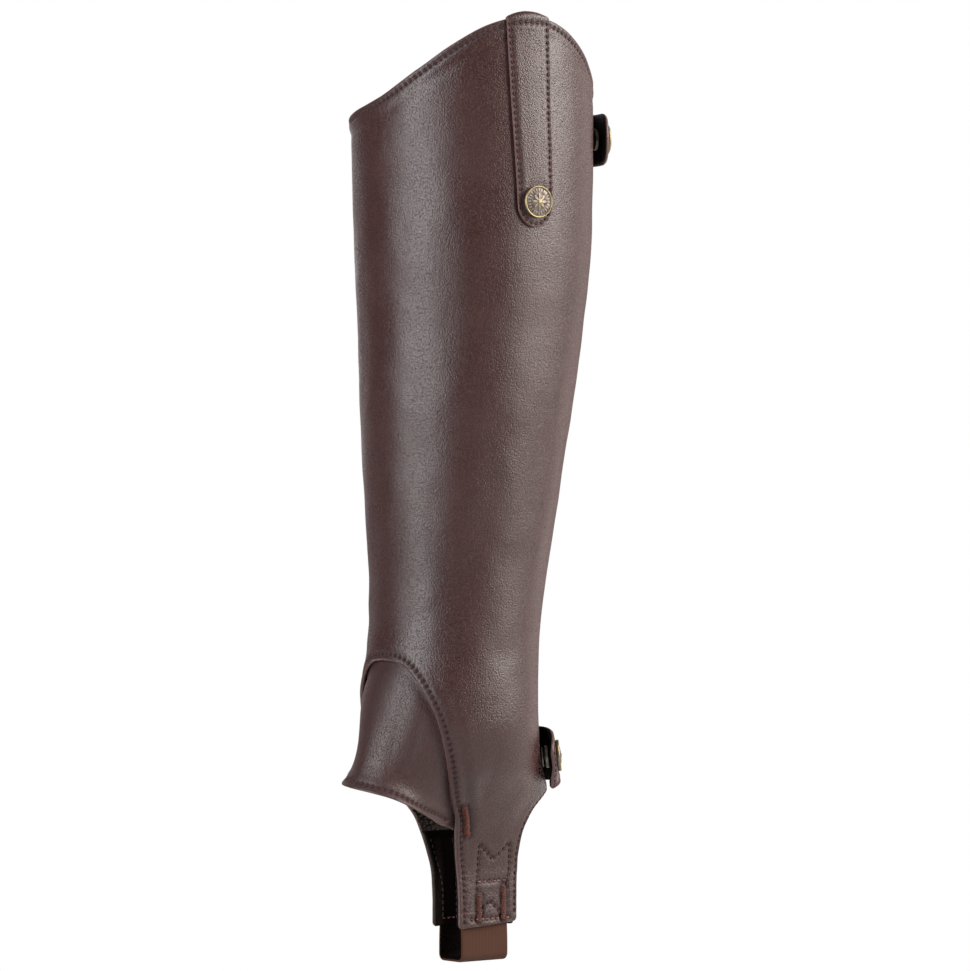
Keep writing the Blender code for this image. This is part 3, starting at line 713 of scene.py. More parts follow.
def tabOutline():
    # three edges of a stirrup tab: down from the middle of the arch, along its end, and up to the zip
    first, last = archTable[-1][0], heelTable[0][0]
    corner = panel["corner"]
    lowFirst, lowLast = panel["tabBottom"]
    turns = [math.radians(15 * k) for k in range(7)]
    firstBend = [(first + corner * (1 - math.cos(t)), lowFirst + corner * (1 - math.sin(t))) for t in turns]
    lastBend = [(last - corner * (1 - math.sin(t)), lowLast + corner * (1 - math.cos(t))) for t in turns]
    slot = float(backAngle(panel["slotHalf"], panel["heelHem"]))
    hem = [(170.0, panel["heelHem"]), (slot, panel["heelHem"])]
    return (np.vstack([curved(archTable, 1.0), firstBend[:1]]), np.array(firstBend + lastBend),
            np.vstack([lastBend[-1:], curved(heelTable, 1.0), hem]))


frontEdge, bottomEdge, backEdge = tabOutline()
slotLevels = np.linspace(panel["heelHem"], float(topHeight(180.0)), 120)
slotEdge = np.column_stack([backAngle(panel["slotHalf"], slotLevels), slotLevels])
rimAngles = np.linspace(slotEdge[-1, 0], -slotEdge[-1, 0], 400)
rim = np.column_stack([rimAngles, topHeight(rimAngles)])
outerEdge = np.vstack([frontEdge, bottomEdge, backEdge, slotEdge[1:]])
panelOutline = np.vstack([outerEdge, rim[1:-1], mirrored(outerEdge)[::-1][:-1]])
outlineTree = lineTree([ringed(panelOutline)], legPoint)


def insetRow(line, distance, ends=(0.0, 0.0)):
    # a row beside the panel's edge, without the stretches that would run too near another edge
    moved = beside(evenly(line, 0.5, legPoint), distance, legPoint)
    moved = moved[(nearest(outlineTree, legPoint(*moved.T)) > distance * 0.94) & within(moved, panelOutline)]
    run = runOf(legPoint(*moved.T))
    return moved[(run >= ends[0]) & (run <= run[-1] - ends[1])]


# Sewing on the outer stirrup tab as (Y, height) lines
boxRows = {
    "left": ((-7.0, 60.5), (-7.0, 38.0)),
    "right": ((12.0, 60.5), (12.0, 38.0)),
    "notch": ((-7.0, 60.5), (2.5, 52.1), (12.0, 60.5)),
    "cross": ((-7.0, 41.4), (12.0, 41.4)),
    "house": ((-3.6, 24.2), (-3.6, 27.2), (1.2, 31.7), (7.6, 26.0), (7.6, 24.2)),
    "bottom": ((-11.5, 22.7), (14.5, 22.7)),
}
# these rows are sewn in lighter thread: a painted highlight
litNames = ("cross", "bottom")          # rows whose thread catches the light
tacks = (((-5.4, 35.2), (-5.4, 21.9)), ((10.2, 38.2), (10.2, 22.2)), ((-22.4, 79.4), (-15.3, 64.4)))


def onTab(points):
    y, height = np.array(points, float).T
    return np.column_stack([sideAngle(y, height), height])


frontRow = insetRow(frontEdge, rowInset["front"])
archRow = np.vstack([mirrored(frontRow)[::-1], frontRow])
slotRow = insetRow(slotEdge, rowInset["slot"], (1.0, 1.0))
tabRows = {name: onTab(points) for name, points in boxRows.items()}
bothSides = {"back": insetRow(backEdge, rowInset["back"], (1.5, 2.0)), "slot": slotRow, **tabRows}
legLines = {"arch": archRow, "top": insetRow(rim, rowInset["top"], (1.0, 1.0))}
for name, line in bothSides.items():
    legLines[name] = line
    legLines["inner " + name] = mirrored(line)

# Soft folds: angle, height, lean (degrees from upright), length, width, depth
folds = (
    (-30, 398, 8, 40, 7, 0.45), (-52, 350, -6, 55, 9, -0.5), (-18, 300, 5, 60, 10, -0.45),
    (8, 360, -4, 70, 11, 0.35), (28, 270, 6, 48, 8, -0.5), (52, 330, -7, 60, 10, 0.4),
    (70, 230, 4, 42, 8, -0.55), (98, 300, -5, 65, 10, -0.4), (118, 225, 8, 40, 8, 0.5),
    (35, 190, -10, 34, 7, 0.5), (-12, 205, 10, 38, 8, -0.5), (-40, 240, -8, 44, 9, 0.45),
    (75, 128, 62, 20, 5, -0.25), (100, 140, 75, 24, 7, -0.12), (60, 152, 58, 22, 6, 0.15),
    (128, 160, 70, 26, 8, -0.14), (20, 172, 78, 26, 6, -0.45), (-25, 168, -75, 24, 6, -0.5),
    (-80, 130, -62, 22, 5, -0.7), (-104, 145, -70, 24, 6, -0.5), (-68, 230, 6, 46, 9, -0.5),
    (-95, 310, -6, 60, 10, 0.45), (-125, 250, 5, 48, 9, -0.5), (-140, 370, -4, 55, 10, 0.4),
    (-110, 395, 6, 34, 9, -0.4), (145, 330, 5, 58, 9, -0.5), (150, 205, -6, 40, 8, 0.45),
    (-152, 180, 8, 40, 8, -0.5), (84, 92, 4, 18, 4, -0.45), (92, 74, 80, 12, 4, 0.4),
)


def wrapped(angle):
    # the same angle between -180 and 180
    return (angle + 180) % 360 - 180


def foldDepth(points):
    # rise of the soft folds at each (angle, height)
    depth = np.zeros(len(points))
    sections = legSections(points[:, 1])
    perDegree = np.radians(1.0) * (sections[:, 3] + sections[:, 1]) / 2
    for angle, height, lean, length, width, rise in folds:
        x, y = wrapped(points[:, 0] - angle) * perDegree, points[:, 1] - height
        tilt = math.radians(lean)
        along = x * math.sin(tilt) + y * math.cos(tilt)
        across = x * math.cos(tilt) - y * math.sin(tilt)
        bent = across + 0.12 * along ** 2 / length
        depth += rise * np.exp(-(along / length) ** 2 - (bent / width) ** 2)
    return depth


def softNoise(places, size, seed):
    return np.array([noise.noise(Vector(p) / size + Vector((seed, 0, 0))) for p in places])


# Ridges and grooves along an edge: distance from it, width, rise
topCreases = ((5.2, 1.4, 0.14), (8.6, 2.3, -0.3))
archCreases = ((5.2, 2.0, -0.45), (9.5, 2.6, 0.35))
topFlare = {"angle": -38, "spread": 34, "depth": 12.0, "rise": 0.9}


def creased(away, table):
    return sum(rise * hump(away, at, width) for at, width, rise in table)


def legFold(cloth):
    (angle, height), places = cloth["points"].T, cloth["places"]
    toTop, toArch = (toLines([line], legPoint, places) for line in (rim, archRow))
    fold = foldDepth(cloth["points"])
    fold += 0.35 * softNoise(places, 34.0, 3.0) + 0.25 * softNoise(places, 15.0, 9.0)
    fold *= smoothStep(0.0, 16.0, cloth["away"]) * 0.85 + 0.15
    flare = hump(wrapped(angle - topFlare["angle"]), 0, topFlare["spread"])
    fold += creased(toTop, topCreases) + topFlare["rise"] * flare * smoothStep(topFlare["depth"], 0.0, toTop)
    low = smoothStep(60.0, 80.0, height) * smoothStep(150.0, 115.0, height)
    return fold + low * creased(toArch, archCreases)


tackLines = [onTab(line) for line in tacks]
tackLines += [mirrored(line) for line in tackLines]
legRows = asRows(legLines.values())
tackRows = asRows(tackLines, pitch=2.0, flanks=(1.2, 2.2, 3.0))
legCloth = cutCloth(panelOutline, legPoint, 2.1, panel["wall"], legRows + tackRows)
relief, seam = sewnRelief(legCloth, legRows, legPoint)
toTack = toLines(tackLines, legPoint, legCloth["places"])
relief -= creased(toTack, ((0.0, 1.5, 0.2), (2.2, 0.6, 0.75)))
# painted shade beside the bar tacks, in the same mask
seam = np.maximum(seam, 0.9 * hump(toTack, 1.6, 1.2))
legFolds = legFold(legCloth)
# the leather is turned in along every edge but the stirrup tabs'
turnedIn = 1.6 * smoothStep(72.0, 84.0, legCloth["points"][:, 1])
leg = layShell("leg_panel_cloth", legCloth, legPoint, (-panel["wall"], 0.0), ("leather", "lining"),
               legFolds, relief, seam, turnedIn)
setOn(leg, ["leg_panel"])
print("leg panel:", len(leg.data.polygons), "triangles")

foldTree = treeOf(legCloth["places"])


def legRun(line, out):
    # stitches that follow the cloth's folds
    starts, ends, normals = stitchRun(line, legPoint, 0.0)
    holes = legPoint(*evenly(line, pitch, legPoint).T)
    lift = np.array([legFolds[foldTree.find(Vector(p))[1]] for p in holes])
    shift = normals * ((lift[:-1] + lift[1:]) / 2 + out)[:, None]
    return starts + shift, ends + shift, normals


def legRuns(lit, out):
    return [legRun(line, out) for name, line in legLines.items() if name.endswith(litNames) == lit]


stitches = sew("leg_stitches", legRuns(False, threadShape["lift"]), "thread")
sew("tab_cross_stitches", legRuns(True, threadShape["lift"] + 0.14), "lit_thread")
lined = (legLines["top"], archRow[archRow[:, 1] > 100.0])
# the lining rows in the darker thread: painted shade
sew("lining_stitches", [insideOut(legRun(line, -panel["wall"] - 0.08)) for line in lined], "shade_painted_thread")
barTacks = sew("tab_bar_tacks", [tackRun(*line) for line in tackLines], "tack_thread", shape=tackShape)
print("leg sewing:", len(stitches.data.polygons) + len(barTacks.data.polygons), "faces")


# Vamp

vampShape = {"wall": 1.6, "overlap": 9.0, "gap": 0.6, "seam": 1.5, "sides": (-66.0, 71.0), "freeDrop": 5.0,
             "leanTop": 14.0, "leanHem": 42.0, "hemRow": 2.0}
vampHem = Curve((
    (-56, -23.5, -34.5, 92.0), (-45, -25.0, -50.0, 92.5), (-30, -20.0, -65.0, 92.0),
    (-15, -11.0, -74.0, 91.0), (0, 1.0, -77.5, 90.0), (15, 12.0, -73.8, 88.1), (30, 20.0, -65.5, 85.0),
    (45, 23.2, -54.0, 79.8), (56, 19.4, -38.5, 73.2), (65, 13.0, -24.0, 66.8),
))


def vampPoint(angle, height, out=0.0):
    # under the panel it follows the leg; past the arch it leans out to its hem
    angle, height, out = np.broadcast_arrays(*(np.asarray(v, float) for v in (angle, height, out)))
    shape = vampShape
    steepness = (archHeight(np.abs(angle) - 1) - archHeight(np.abs(angle) + 1)) / 2
    start = archHeight(angle) - shape["seam"] * np.hypot(1.0, steepness)
    hem = vampHem(angle)
    hemLevel = hem[..., 2]
    depth = -panel["wall"] - shape["gap"]
    covered = (height >= start) | (start <= hemLevel)
    t = np.clip((start - height) / np.where(covered, 1.0, start - hemLevel), 0, 1)[..., None]
    upper = legPoint(angle, start, depth)
    lower = legPoint(angle, hemLevel, depth)
    free = smoothStep(0.0, shape["freeDrop"], start - hemLevel)
    lower = lower + (hem - lower) * free[..., None]
    ahead, behind = vampHem(angle + 2), vampHem(angle - 2)
    hemNormal = unit(np.stack([ahead[..., 1] - behind[..., 1], behind[..., 0] - ahead[..., 0],
                               0 * hemLevel], -1))
    span = np.linalg.norm(lower - upper, axis=-1, keepdims=True)
    drop = unit(legSkin(angle, start - 1) - legSkin(angle, start))
    topLean = np.radians(shape["leanTop"] * free)[..., None]
    hemLean = np.radians(shape["leanHem"] * free)[..., None]
    topNormal = legNormal(angle, start)
    upperSlope = (drop * np.cos(topLean) + topNormal * np.sin(topLean)) * span
    down = np.array((0.0, 0.0, -1.0))
    lowerSlope = (down * np.cos(hemLean) + hemNormal * np.sin(hemLean)) * span
    outward = unit(topNormal + (hemNormal - topNormal) * t)
    bent = hermite(upper, lower, upperSlope, lowerSlope, t) + outward * out[..., None]
    return np.where(covered[..., None], legPoint(angle, height, depth + out), bent)


vampAngles = np.linspace(*vampShape["sides"], 160)
hemLine = np.column_stack([vampAngles, vampHem(vampAngles)[:, 2]])
topLevels = np.maximum(archHeight(vampAngles), hemLine[:, 1]) + vampShape["overlap"]
topLine = np.column_stack([vampAngles, topLevels])
vampOutline = np.vstack([hemLine, topLine[::-1]])
hemRow = beside(evenly(hemLine, 0.5, vampPoint), vampShape["hemRow"], vampPoint)
vampRows = asRows([hemRow[(hemRow[:, 0] > -57) & (hemRow[:, 0] < 60)]])
vampCloth = cutCloth(vampOutline, vampPoint, 1.7, vampShape["wall"], vampRows)
vampFolds = 0.3 * softNoise(vampCloth["places"], 20.0, 5.0)
vampFolds *= smoothStep(0.0, 6.0, archHeight(vampCloth["points"][:, 0]) - vampCloth["points"][:, 1])
vamp = layShell("vamp_cloth", vampCloth, vampPoint, (-vampShape["wall"], 0.0), ("vamp_leather", "lining"),
                vampFolds, *sewnRelief(vampCloth, vampRows, vampPoint, 0.3, 0.35, 0.25))
setOn(vamp, ["vamp"])
sewRows("vamp_stitches", vampRows, vampPoint)
print("vamp:", len(vamp.data.polygons), "triangles")


# Stirrup: elastic and the facings that hold its ends

elasticShape = {"wall": 1.6, "width": 29.0, "floor": 1.4, "floorHalf": 8.9, "bend": 2.6, "gap": 0.35,
                "levels": (58.5, 55.0, 51.0, 47.0, 40.0, 32.0, 24.0)}
facingShape = {"wall": 1.0, "low": 19.2, "top": 65.0, "slack": 0.7, "inset": 0.6, "raised": (0.4, 60.6),
               "flat": (2.6, 63.2)}


def elasticPath():
    shape = elasticShape
    levels = np.array(shape["levels"])
    inset = panel["wall"] + shape["gap"] + shape["wall"] / 2
    inTab = legPoint(sideAngle(shape["width"] / 2, levels), levels, -inset)
    line = [(x, z) for x, _, z in inTab]
    bend, floor = shape["bend"], shape["floor"] + shape["wall"] / 2
    line.append((shape["floorHalf"], floor + 2.6 * bend))
    for k in range(7):
        turn = math.radians(15 * k)
        line.append((shape["floorHalf"] - bend + bend * math.cos(turn), floor + bend - bend * math.sin(turn)))
    half = np.array(line + [(0.0, floor)])
    return np.vstack([half, half[::-1][1:] * (-1, 1)])


def bandAround(path, width, wall, steps=26):
    # rounded cross-sections along a path in X and Z, with their faces and which of them look inwards
    radius = wall / 2 - 0.02
    reach = width / 2 - radius
    section = []
    for side, first in ((1, -90), (-1, 90)):
        turns = np.radians(first + 22.5 * np.arange(9))
        section += list(zip(side * reach + radius * np.cos(turns), radius * np.sin(turns)))
        section += [(y, side * radius) for y in np.linspace(side * reach, -side * reach, steps)[1:-1]]
    across, up = np.array(section).T
    places = [np.column_stack([x + dz * up, across, z - dx * up])
              for (x, z), (dx, dz) in zip(path, unit(np.gradient(path, axis=0)))]
    inwards = np.minimum(up, np.roll(up, -1)) > 0.25
    return np.vstack(places), lofted(len(path), len(section)), [*np.tile(inwards, len(path) - 1), 0, 0]


# faces that look inwards take the near-black facing look: painted shade inside the stirrup
places, faces, inwards = bandAround(curved(elasticPath(), 1.1), elasticShape["width"], elasticShape["wall"])
elastic = newMesh("stirrup_elastic_band", places, faces, ["elastic", "facing"], inwards)
setOn(elastic, ["stirrup_elastic"])


def facingCloth(name, side, node):
    shape = facingShape
    rise = elasticShape["gap"] + elasticShape["wall"] + shape["slack"]
    flank = [elasticShape["width"] / 2 + past for past in (shape["raised"][0], shape["flat"][0])]
    half = shape["wall"] / 2

    def surface(angle, height, out=0.0):
        across = 1 - smoothStep(*flank, np.abs(legSkin(angle, height)[..., 1]))
        raised = across * (1 - smoothStep(shape["raised"][1], shape["flat"][1], height))
        inwards = -panel["wall"] - elasticShape["gap"] - rise * raised - shape["wall"]
        return legPoint(angle, height, inwards + out)

    levels = np.linspace(shape["low"], shape["top"], 40)
    first = np.column_stack([tabFront(levels)[:, 0] + shape["inset"], levels])[::-1]
    last = np.column_stack([tabBack(levels)[:, 0] - shape["inset"], levels])
    outline = np.vstack([first, last])
    lines = [beside(first, 2.0, surface), beside(last, 1.4, surface)]
    lines = [line[(line[:, 1] > 22) & (line[:, 1] < 62)] for line in lines]
    lines += [tabRows[key] for key in ("left", "right", "notch", "cross")]
    lines.append(onTab(((-15.6, 22.7), (14.5, 22.7))))
    if side < 0:
        outline, lines = mirrored(outline)[::-1], [mirrored(line) for line in lines]
    stitched = asRows(lines)
    cloth = cutCloth(outline, surface, 1.7, shape["wall"], stitched, (0.8,))
    relief, seam = sewnRelief(cloth, stitched, surface, 0.2, 0.2, 0.1)
    # the facing's right side is the one towards the leg, so its relief goes on the lower layer
    made = layShell(name, cloth, lambda a, h, out: surface(a, h, half - out), (-half, half),
                    ("facing", "facing"), 0.0, relief, seam)
    made.data.flip_normals()
    setOn(made, [node])
    runs = [insideOut(stitchRun(line, surface, -0.05)) for line in lines]
    # darker thread inside for painted shade, the bottom row in lighter thread for a painted highlight
    sew(name + "_stitches", runs[:-1], "shade_painted_thread")
    sew(name + "_bottom_stitches", runs[-1:], "lit_thread")


facingCloth("outer_facing_cloth", 1, "outer_tab_facing")
facingCloth("inner_facing_cloth", -1, "inner_tab_facing")
print("stirrup made")


# Outer strap

strapShape = {"wall": 1.4, "gap": 0.35, "top": (68.8, 90.8), "low": (73.8, 92.6), "lowLevel": 376.0,
              "tip": 364.5, "tail": 11.0, "snap": (83.4, 377.0), "row": 1.6, "crossRow": 2.9, "arch": 0.62}
strapBend = math.pi * (panel["wall"] / 2 + strapShape["gap"] + strapShape["wall"] / 2)


def strapPoint(angle, reach, out=0.0):
    # past the panel's top edge the reach counts on over the edge and down inside
    angle, reach, out = np.broadcast_arrays(*(np.asarray(v, float) for v in (angle, reach, out)))
    edge = topHeight(angle)
    past = reach - edge
    half = panel["wall"] / 2
    radius = half + out
    turn = math.pi * np.clip(past, 0, strapBend) / strapBend
    share = (angle - sum(strapShape["top"]) / 2) * 2 / (strapShape["top"][1] - strapShape["top"][0])
    crest = 1 - strapShape["arch"] * np.clip(share ** 2, 0, 1)
    over = legPoint(angle, edge + radius * crest * np.sin(turn), -half + radius * np.cos(turn))
    inside = legPoint(angle, edge - (past - strapBend), -half - radius)
    below = legPoint(angle, reach, out)
    return np.where((past <= 0)[..., None], below, np.where((past < strapBend)[..., None], over, inside))


def strapOutline():
    # the round tip and both long edges, up over the panel's edge to the strap's end
    shape = strapShape
    topLevel = float(topHeight(sum(shape["top"]) / 2))
    levels = np.arange(shape["lowLevel"], topLevel, 2.0)
    share = (levels - shape["lowLevel"]) / (topLevel - shape["lowLevel"])
    past = np.linspace(0, strapBend + shape["tail"], 40)
    inset = 0.9 * smoothStep(-0.5, 4.5, past)
    edges = []
    for low, top, side in zip(shape["low"], shape["top"], (1, -1)):
        over = np.column_stack([top + side * inset, topHeight(top) + past])
        edges.append(np.vstack([np.column_stack([low + (top - low) * share, levels]), over]))
    middle, half = sum(shape["low"]) / 2, (shape["low"][1] - shape["low"][0]) / 2
    turns = np.radians(np.arange(-84, 85, 6))
    tip = np.column_stack([middle + half * np.sin(turns),
                           shape["lowLevel"] - (shape["lowLevel"] - shape["tip"]) * np.cos(turns)])
    return tip, *edges


def strapSurface(angle, reach, out=0.0):
    return strapPoint(angle, reach, strapShape["gap"] + strapShape["wall"] + out)


tip, leftLine, rightLine = strapOutline()
strapEdge = np.vstack([tip, rightLine, leftLine[::-1]])
around = evenly(np.vstack([leftLine[::-1], tip, rightLine]), 0.5, strapSurface)
around = beside(around, strapShape["row"], strapSurface)
around = around[around[:, 1] < topHeight(around[:, 0]) - 1.0]
crossAngles = np.linspace(strapShape["top"][0] + 2.6, strapShape["top"][1] - 2.6, 12)
cross = np.column_stack([crossAngles, topHeight(crossAngles) - strapShape["crossRow"]])
strapRows = asRows([around, cross])
strapCloth = cutCloth(strapEdge, strapSurface, 1.5, strapShape["wall"], strapRows, (0.75,))
relief, seam = sewnRelief(strapCloth, strapRows, strapSurface, 0.35, 0.4, 0.15)
# the leather is pressed down round the cap
toCap = np.linalg.norm(strapCloth["places"] - legPoint(*strapShape["snap"]), axis=1)
relief -= 0.35 * hump(toCap, 8.6, 1.2)
strapFolds = np.maximum(0.18 * softNoise(strapCloth["places"], 16.0, 7.0), -0.1)
strap = layShell("outer_strap_cloth", strapCloth, strapSurface, (-strapShape["wall"], 0.0),
                 ("leather", "leather"), strapFolds, relief, seam)
setOn(strap, ["outer_strap"])
sewRows("strap_stitches", strapRows, strapSurface)
print("strap:", len(strap.data.polygons), "triangles")


# Snap hardware

capShape = {"ticks": 24, "petals": 8, "segments": 96, "step": 0.17}
# Half outlines: radius, height over the seat
capProfile = ((0.0, -0.28), (5.6, -0.28), (7.4, -0.2), (7.88, 0.6), (7.85, 1.2), (7.55, 1.62), (7.2, 1.5),
              (6.95, 1.15), (6.3, 1.2), (4.0, 1.65), (0.0, 2.0))
socketProfile = ((2.5, 0.0), (5.0, 0.0), (5.6, 0.5), (5.6, 1.6), (4.6, 2.2), (2.9, 2.4), (2.5, 2.0),
                 (2.5, 0.0))
studProfile = ((0.0, 0.0), (5.0, 0.0), (5.0, 0.5), (4.2, 0.9), (1.7, 1.1), (1.7, 1.7), (2.1, 2.2), (1.9, 3.0),
               (1.2, 3.4), (0.0, 3.5))


def turnedPiece(name, profile, place, out, node, relief=None, segments=64, step=0.22):
    # a round piece from its half outline, standing on its seat; the relief is for its raised face
    seat, normal = legPoint(*place, out), legNormal(*place)
    across = unit(np.cross((0.0, 0.0, 1.0), normal))
    up = np.cross(normal, across)
    places, wear, rings = [], [], []
    for radius, level in curved(profile, step):
        count, radius = (1, 0.0) if radius < 0.02 else (segments, radius)
        rings.append(range(len(places), len(places) + count))
        for k in range(count):
            turn = k * math.tau / segments
            extra, shine = relief(radius, turn) if relief and level > 1.0 else (0.0, 0.5)
            spoke = (across * math.cos(turn) + up * math.sin(turn)) * radius
            places.append(seat + spoke + normal * (level + extra))
            wear.append(shine)
    faces = []
    for lower, upper in zip(rings, rings[1:]):
        for k in range(segments):
            after = (k + 1) % segments
            corners = ((lower, k), (lower, after), (upper, after), (upper, k))
            # a quad, or a triangle where a ring is a single point
            faces.append(tuple(dict.fromkeys(ring[n % len(ring)] for ring, n in corners)))
    return setOn(newMesh(name, places, faces, ["brass"], None, {"wear": wear}), [node])


def capRelief(radius, turn):
    # ring of ticks inside the rim and a plain rosette in the middle
    petal = abs(math.cos(turn * capShape["petals"] / 2))
    flower = float(smoothStep(0.0, 0.6, petal * 3.9 + 0.5 - radius)) * 0.26
    heart = float(smoothStep(1.15, 0.8, radius)) * 0.22
    cut = float(smoothStep(0.35, 0.0, abs(math.sin(turn * capShape["petals"] / 2)) * radius)) * -0.16
    cut *= float(smoothStep(1.2, 1.6, radius) * smoothStep(4.3, 3.7, radius))
    tick = float(smoothStep(0.35, 0.75, math.cos(turn * capShape["ticks"])))
    tick *= float(smoothStep(4.95, 5.15, radius) * smoothStep(6.55, 6.35, radius)) * 0.24
    rise = flower + heart + cut + tick
    rimShine = float(smoothStep(6.9, 7.25, radius))
    return rise, min(1.0, 0.30 + rise * 1.15 + rimShine * 0.7)


def snapCap(name, place, out, node):
    return turnedPiece(name, capProfile, place, out, node, capRelief, capShape["segments"], capShape["step"])


snapCap("strap_snap_cap", strapShape["snap"], 2 * strapShape["gap"] + strapShape["wall"], "strap_cap")


# Snap tabs

tabs = {
    "top_tab": {"root": 207.0, "snap": 158.5, "tip": 144.6, "low": 399.2, "high": 425.4, "lift": 5.5,
                "inside": "tab_lining", "corners": ((13.0, 13.0), (13.0, 13.0))},
    # the bottom tab's inside is near black, darker than the top tab's lining: painted shade
    "bottom_tab": {"root": 212.0, "snap": 146.0, "tip": 132.5, "low": 88.4, "high": 116.8, "lift": 4.9,
                   "inside": "facing", "corners": ((2.0, 2.0), (25.0, 12.0))},
}
tabMake = {"wall": 2.6, "gap": 0.5, "seat": 10.0, "row": 2.1, "clear": 0.35, "socket": 2.4,
           "pressed": (13.0, 8.2)}


def tabSurface(tab):
    middle = (tab["low"] + tab["high"]) / 2
    seat = legPoint(tab["snap"], middle, tab["lift"] + tabMake["wall"])
    normal = legNormal(tab["snap"], middle)

    def surface(angle, height, out=0.0):
        rise = smoothStep(0.0, 1.0, (180 + tabMake["seat"] - np.asarray(angle, float))
                          / (180 + tabMake["seat"] - tab["snap"] - 5))
        lift = tabMake["gap"] + (tab["lift"] - tabMake["gap"]) * rise
        places = legPoint(angle, height, lift + tabMake["wall"] + out)
        # the leather is pressed flat under the cap
        past = (places - seat) @ normal
        spread = np.linalg.norm(places - seat - past[..., None] * normal, axis=-1)
        flat = smoothStep(*tabMake["pressed"], spread) * (np.abs(past) < 8)
        return places + normal * ((np.asarray(out, float) - past) * flat)[..., None]
    return surface


def snapTab(name, tab):
    surface = tabSurface(tab)
    middle = (tab["low"] + tab["high"]) / 2
    span = np.linalg.norm(legSkin(tab["snap"], middle) - legSkin(180.0, middle))
    perDegree = span / (180 - tab["snap"])
    (lowLength, lowRise), (highLength, highRise) = tab["corners"]
    turns = np.radians(np.arange(0, 91, 7.5))
    high = np.column_stack([tab["tip"] + highLength * (1 - np.sin(turns)) / perDegree,
                            tab["high"] - highRise * (1 - np.cos(turns))])
    low = np.column_stack([tab["tip"] + lowLength * (1 - np.cos(turns)) / perDegree,
                           tab["low"] + lowRise * (1 - np.sin(turns))])
    root = np.array([(tab["root"], tab["low"]), (tab["root"], tab["high"])])
    outline = np.vstack([root, high, low])
    outline = outline[np.linalg.norm(np.diff(ringed(outline), axis=0), axis=1) > 1e-6]
    edge = evenly(ringed(outline), 0.5, surface)[:-1]
    line = beside(edge, tabMake["row"], surface, closed=True)
    line = line[toLines([ringed(edge)], surface, surface(*line.T)) > tabMake["row"] * 0.93]
    inner = tab["root"] - 13.0
    rows = asRows([ringed(line), [(inner, tab["low"] + 2.6), (inner, tab["high"] - 2.6)]])
    cloth = cutCloth(outline, surface, 1.6, tabMake["wall"], rows, (0.8,))
    relief, seam = sewnRelief(cloth, rows, surface, 0.35, 0.35, 0.2)
    made = layShell(name + "_cloth", cloth, surface, (-tabMake["wall"], 0.0), ("leather", tab["inside"]),
                    0.0, relief, seam, 0.0)
    setOn(made, [name])
    length = 0.001 * float(runOf(surface(np.linspace(tab["tip"], tab["root"], 60), np.full(60, middle)))[-1])
    sewRows(name + "_stitches", rows, surface)
    place, lift, clear = (tab["snap"], middle), tab["lift"], tabMake["clear"]
    snapCap(name + "_snap_cap", place, lift + tabMake["wall"] + clear, name + "_cap")
    under = lift - 2 * clear - tabMake["socket"]
    turnedPiece(name + "_snap_socket", socketProfile, place, under, name + "_socket")
    turnedPiece(name + "_snap_stud", studProfile, place, clear, name + "_stud")


for name, tab in tabs.items():
    snapTab(name, tab)
print("snaps and tabs made")


# Zip

zipShape = {"tapeHalf": 15.0, "tapeWall": 0.8, "tapeEnds": (88.5, 430.0), "gap": 0.35,
            "chainEnds": (91.0, 383.2), "toothPitch": 2.7, "start": 0.7}


def zipTape():
    half, wall = zipShape["tapeHalf"], zipShape["tapeWall"]
    high = -panel["wall"] - zipShape["gap"]
    levels = np.linspace(*zipShape["tapeEnds"], 150)
    across = np.linspace(-half + 0.4, half - 0.4, 31)
    section = [(x, 0.12 * hump(abs(x), 4.6, 0.8) + 0.1 * hump(abs(x), half - 1.2, 0.8)) for x in across]
    edge = [(half - 0.1, -0.15), (half - 0.02, -wall / 2), (half - 0.1, -wall + 0.15)]
    section += edge + [(x, -wall) for x in across[::-1]] + [(-x, y) for x, y in edge[::-1]]
    x, y = np.array(section).T
    places = [legPoint(backAngle(x, level), level, high + y) for level in levels]
    made = newMesh("zip_tape_cloth", np.vstack(places), lofted(len(levels), len(section)), ["tape"])
    setOn(made, ["zip_tape"])
    line = slotRow[slotRow[:, 1] < zipShape["tapeEnds"][1] - 2.0]
    runs = [insideOut(stitchRun(side, legPoint, high - wall - 0.06)) for side in (line, mirrored(line))]
    sew("zip_tape_stitches", runs, "thread")


toothOutline = ((-2.8, -0.55), (-0.35, -0.42), (0.25, -0.62), (0.78, -0.50), (0.92, 0.0), (0.78, 0.50),
                (0.25, 0.62), (-0.35, 0.42), (-2.8, 0.55))
# A tooth's layers: height over the leg's face, size
toothLayers = ((-1.85, 0.86), (-1.6, 1.0), (-0.4, 1.0), (-0.12, 0.84))


def zipTeeth():
    # two rows of teeth, each reaching between two of the other side
    (low, high), start = zipShape["chainEnds"], zipShape["start"]
    places, faces = [], []
    step = zipShape["toothPitch"] / 2
    x, y = np.array(toothOutline).T
    toothFaces = lofted(len(toothLayers), len(toothOutline))
    for k in range(int((high - low - 2 * start) / step)):
        side = 1 if k % 2 else -1
        level = low + start + step * k
        base = len(places)
        for out, size in toothLayers:
            reach, height = (x * side + side) * size - side, y * size * 0.92 + level
            places += list(legPoint(backAngle(reach, height), height, out))
        faces += [tuple(base + v for v in face)[::side] for face in toothFaces]
    made = newMesh("zip_teeth", places, faces, ["brass"], None, {"wear": np.full(len(places), 0.45)})
    made.data.set_sharp_from_angle(angle=math.radians(35))
    setOn(made, ["zip_chain"])


zipTape()
zipTeeth()
for name in ("zip_slider", "zip_pull"):
    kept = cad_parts[name]
    kept.data.materials.clear()
    kept.data.materials.append(looks["zip_brass"])
    soft = kept.modifiers.new("soft edges", "BEVEL")
    soft.width = 0.00025
    soft.segments = 3
    soft.limit_method = "ANGLE"
    soft.angle_limit = math.radians(35)
    soft.harden_normals = True
print("zip made")


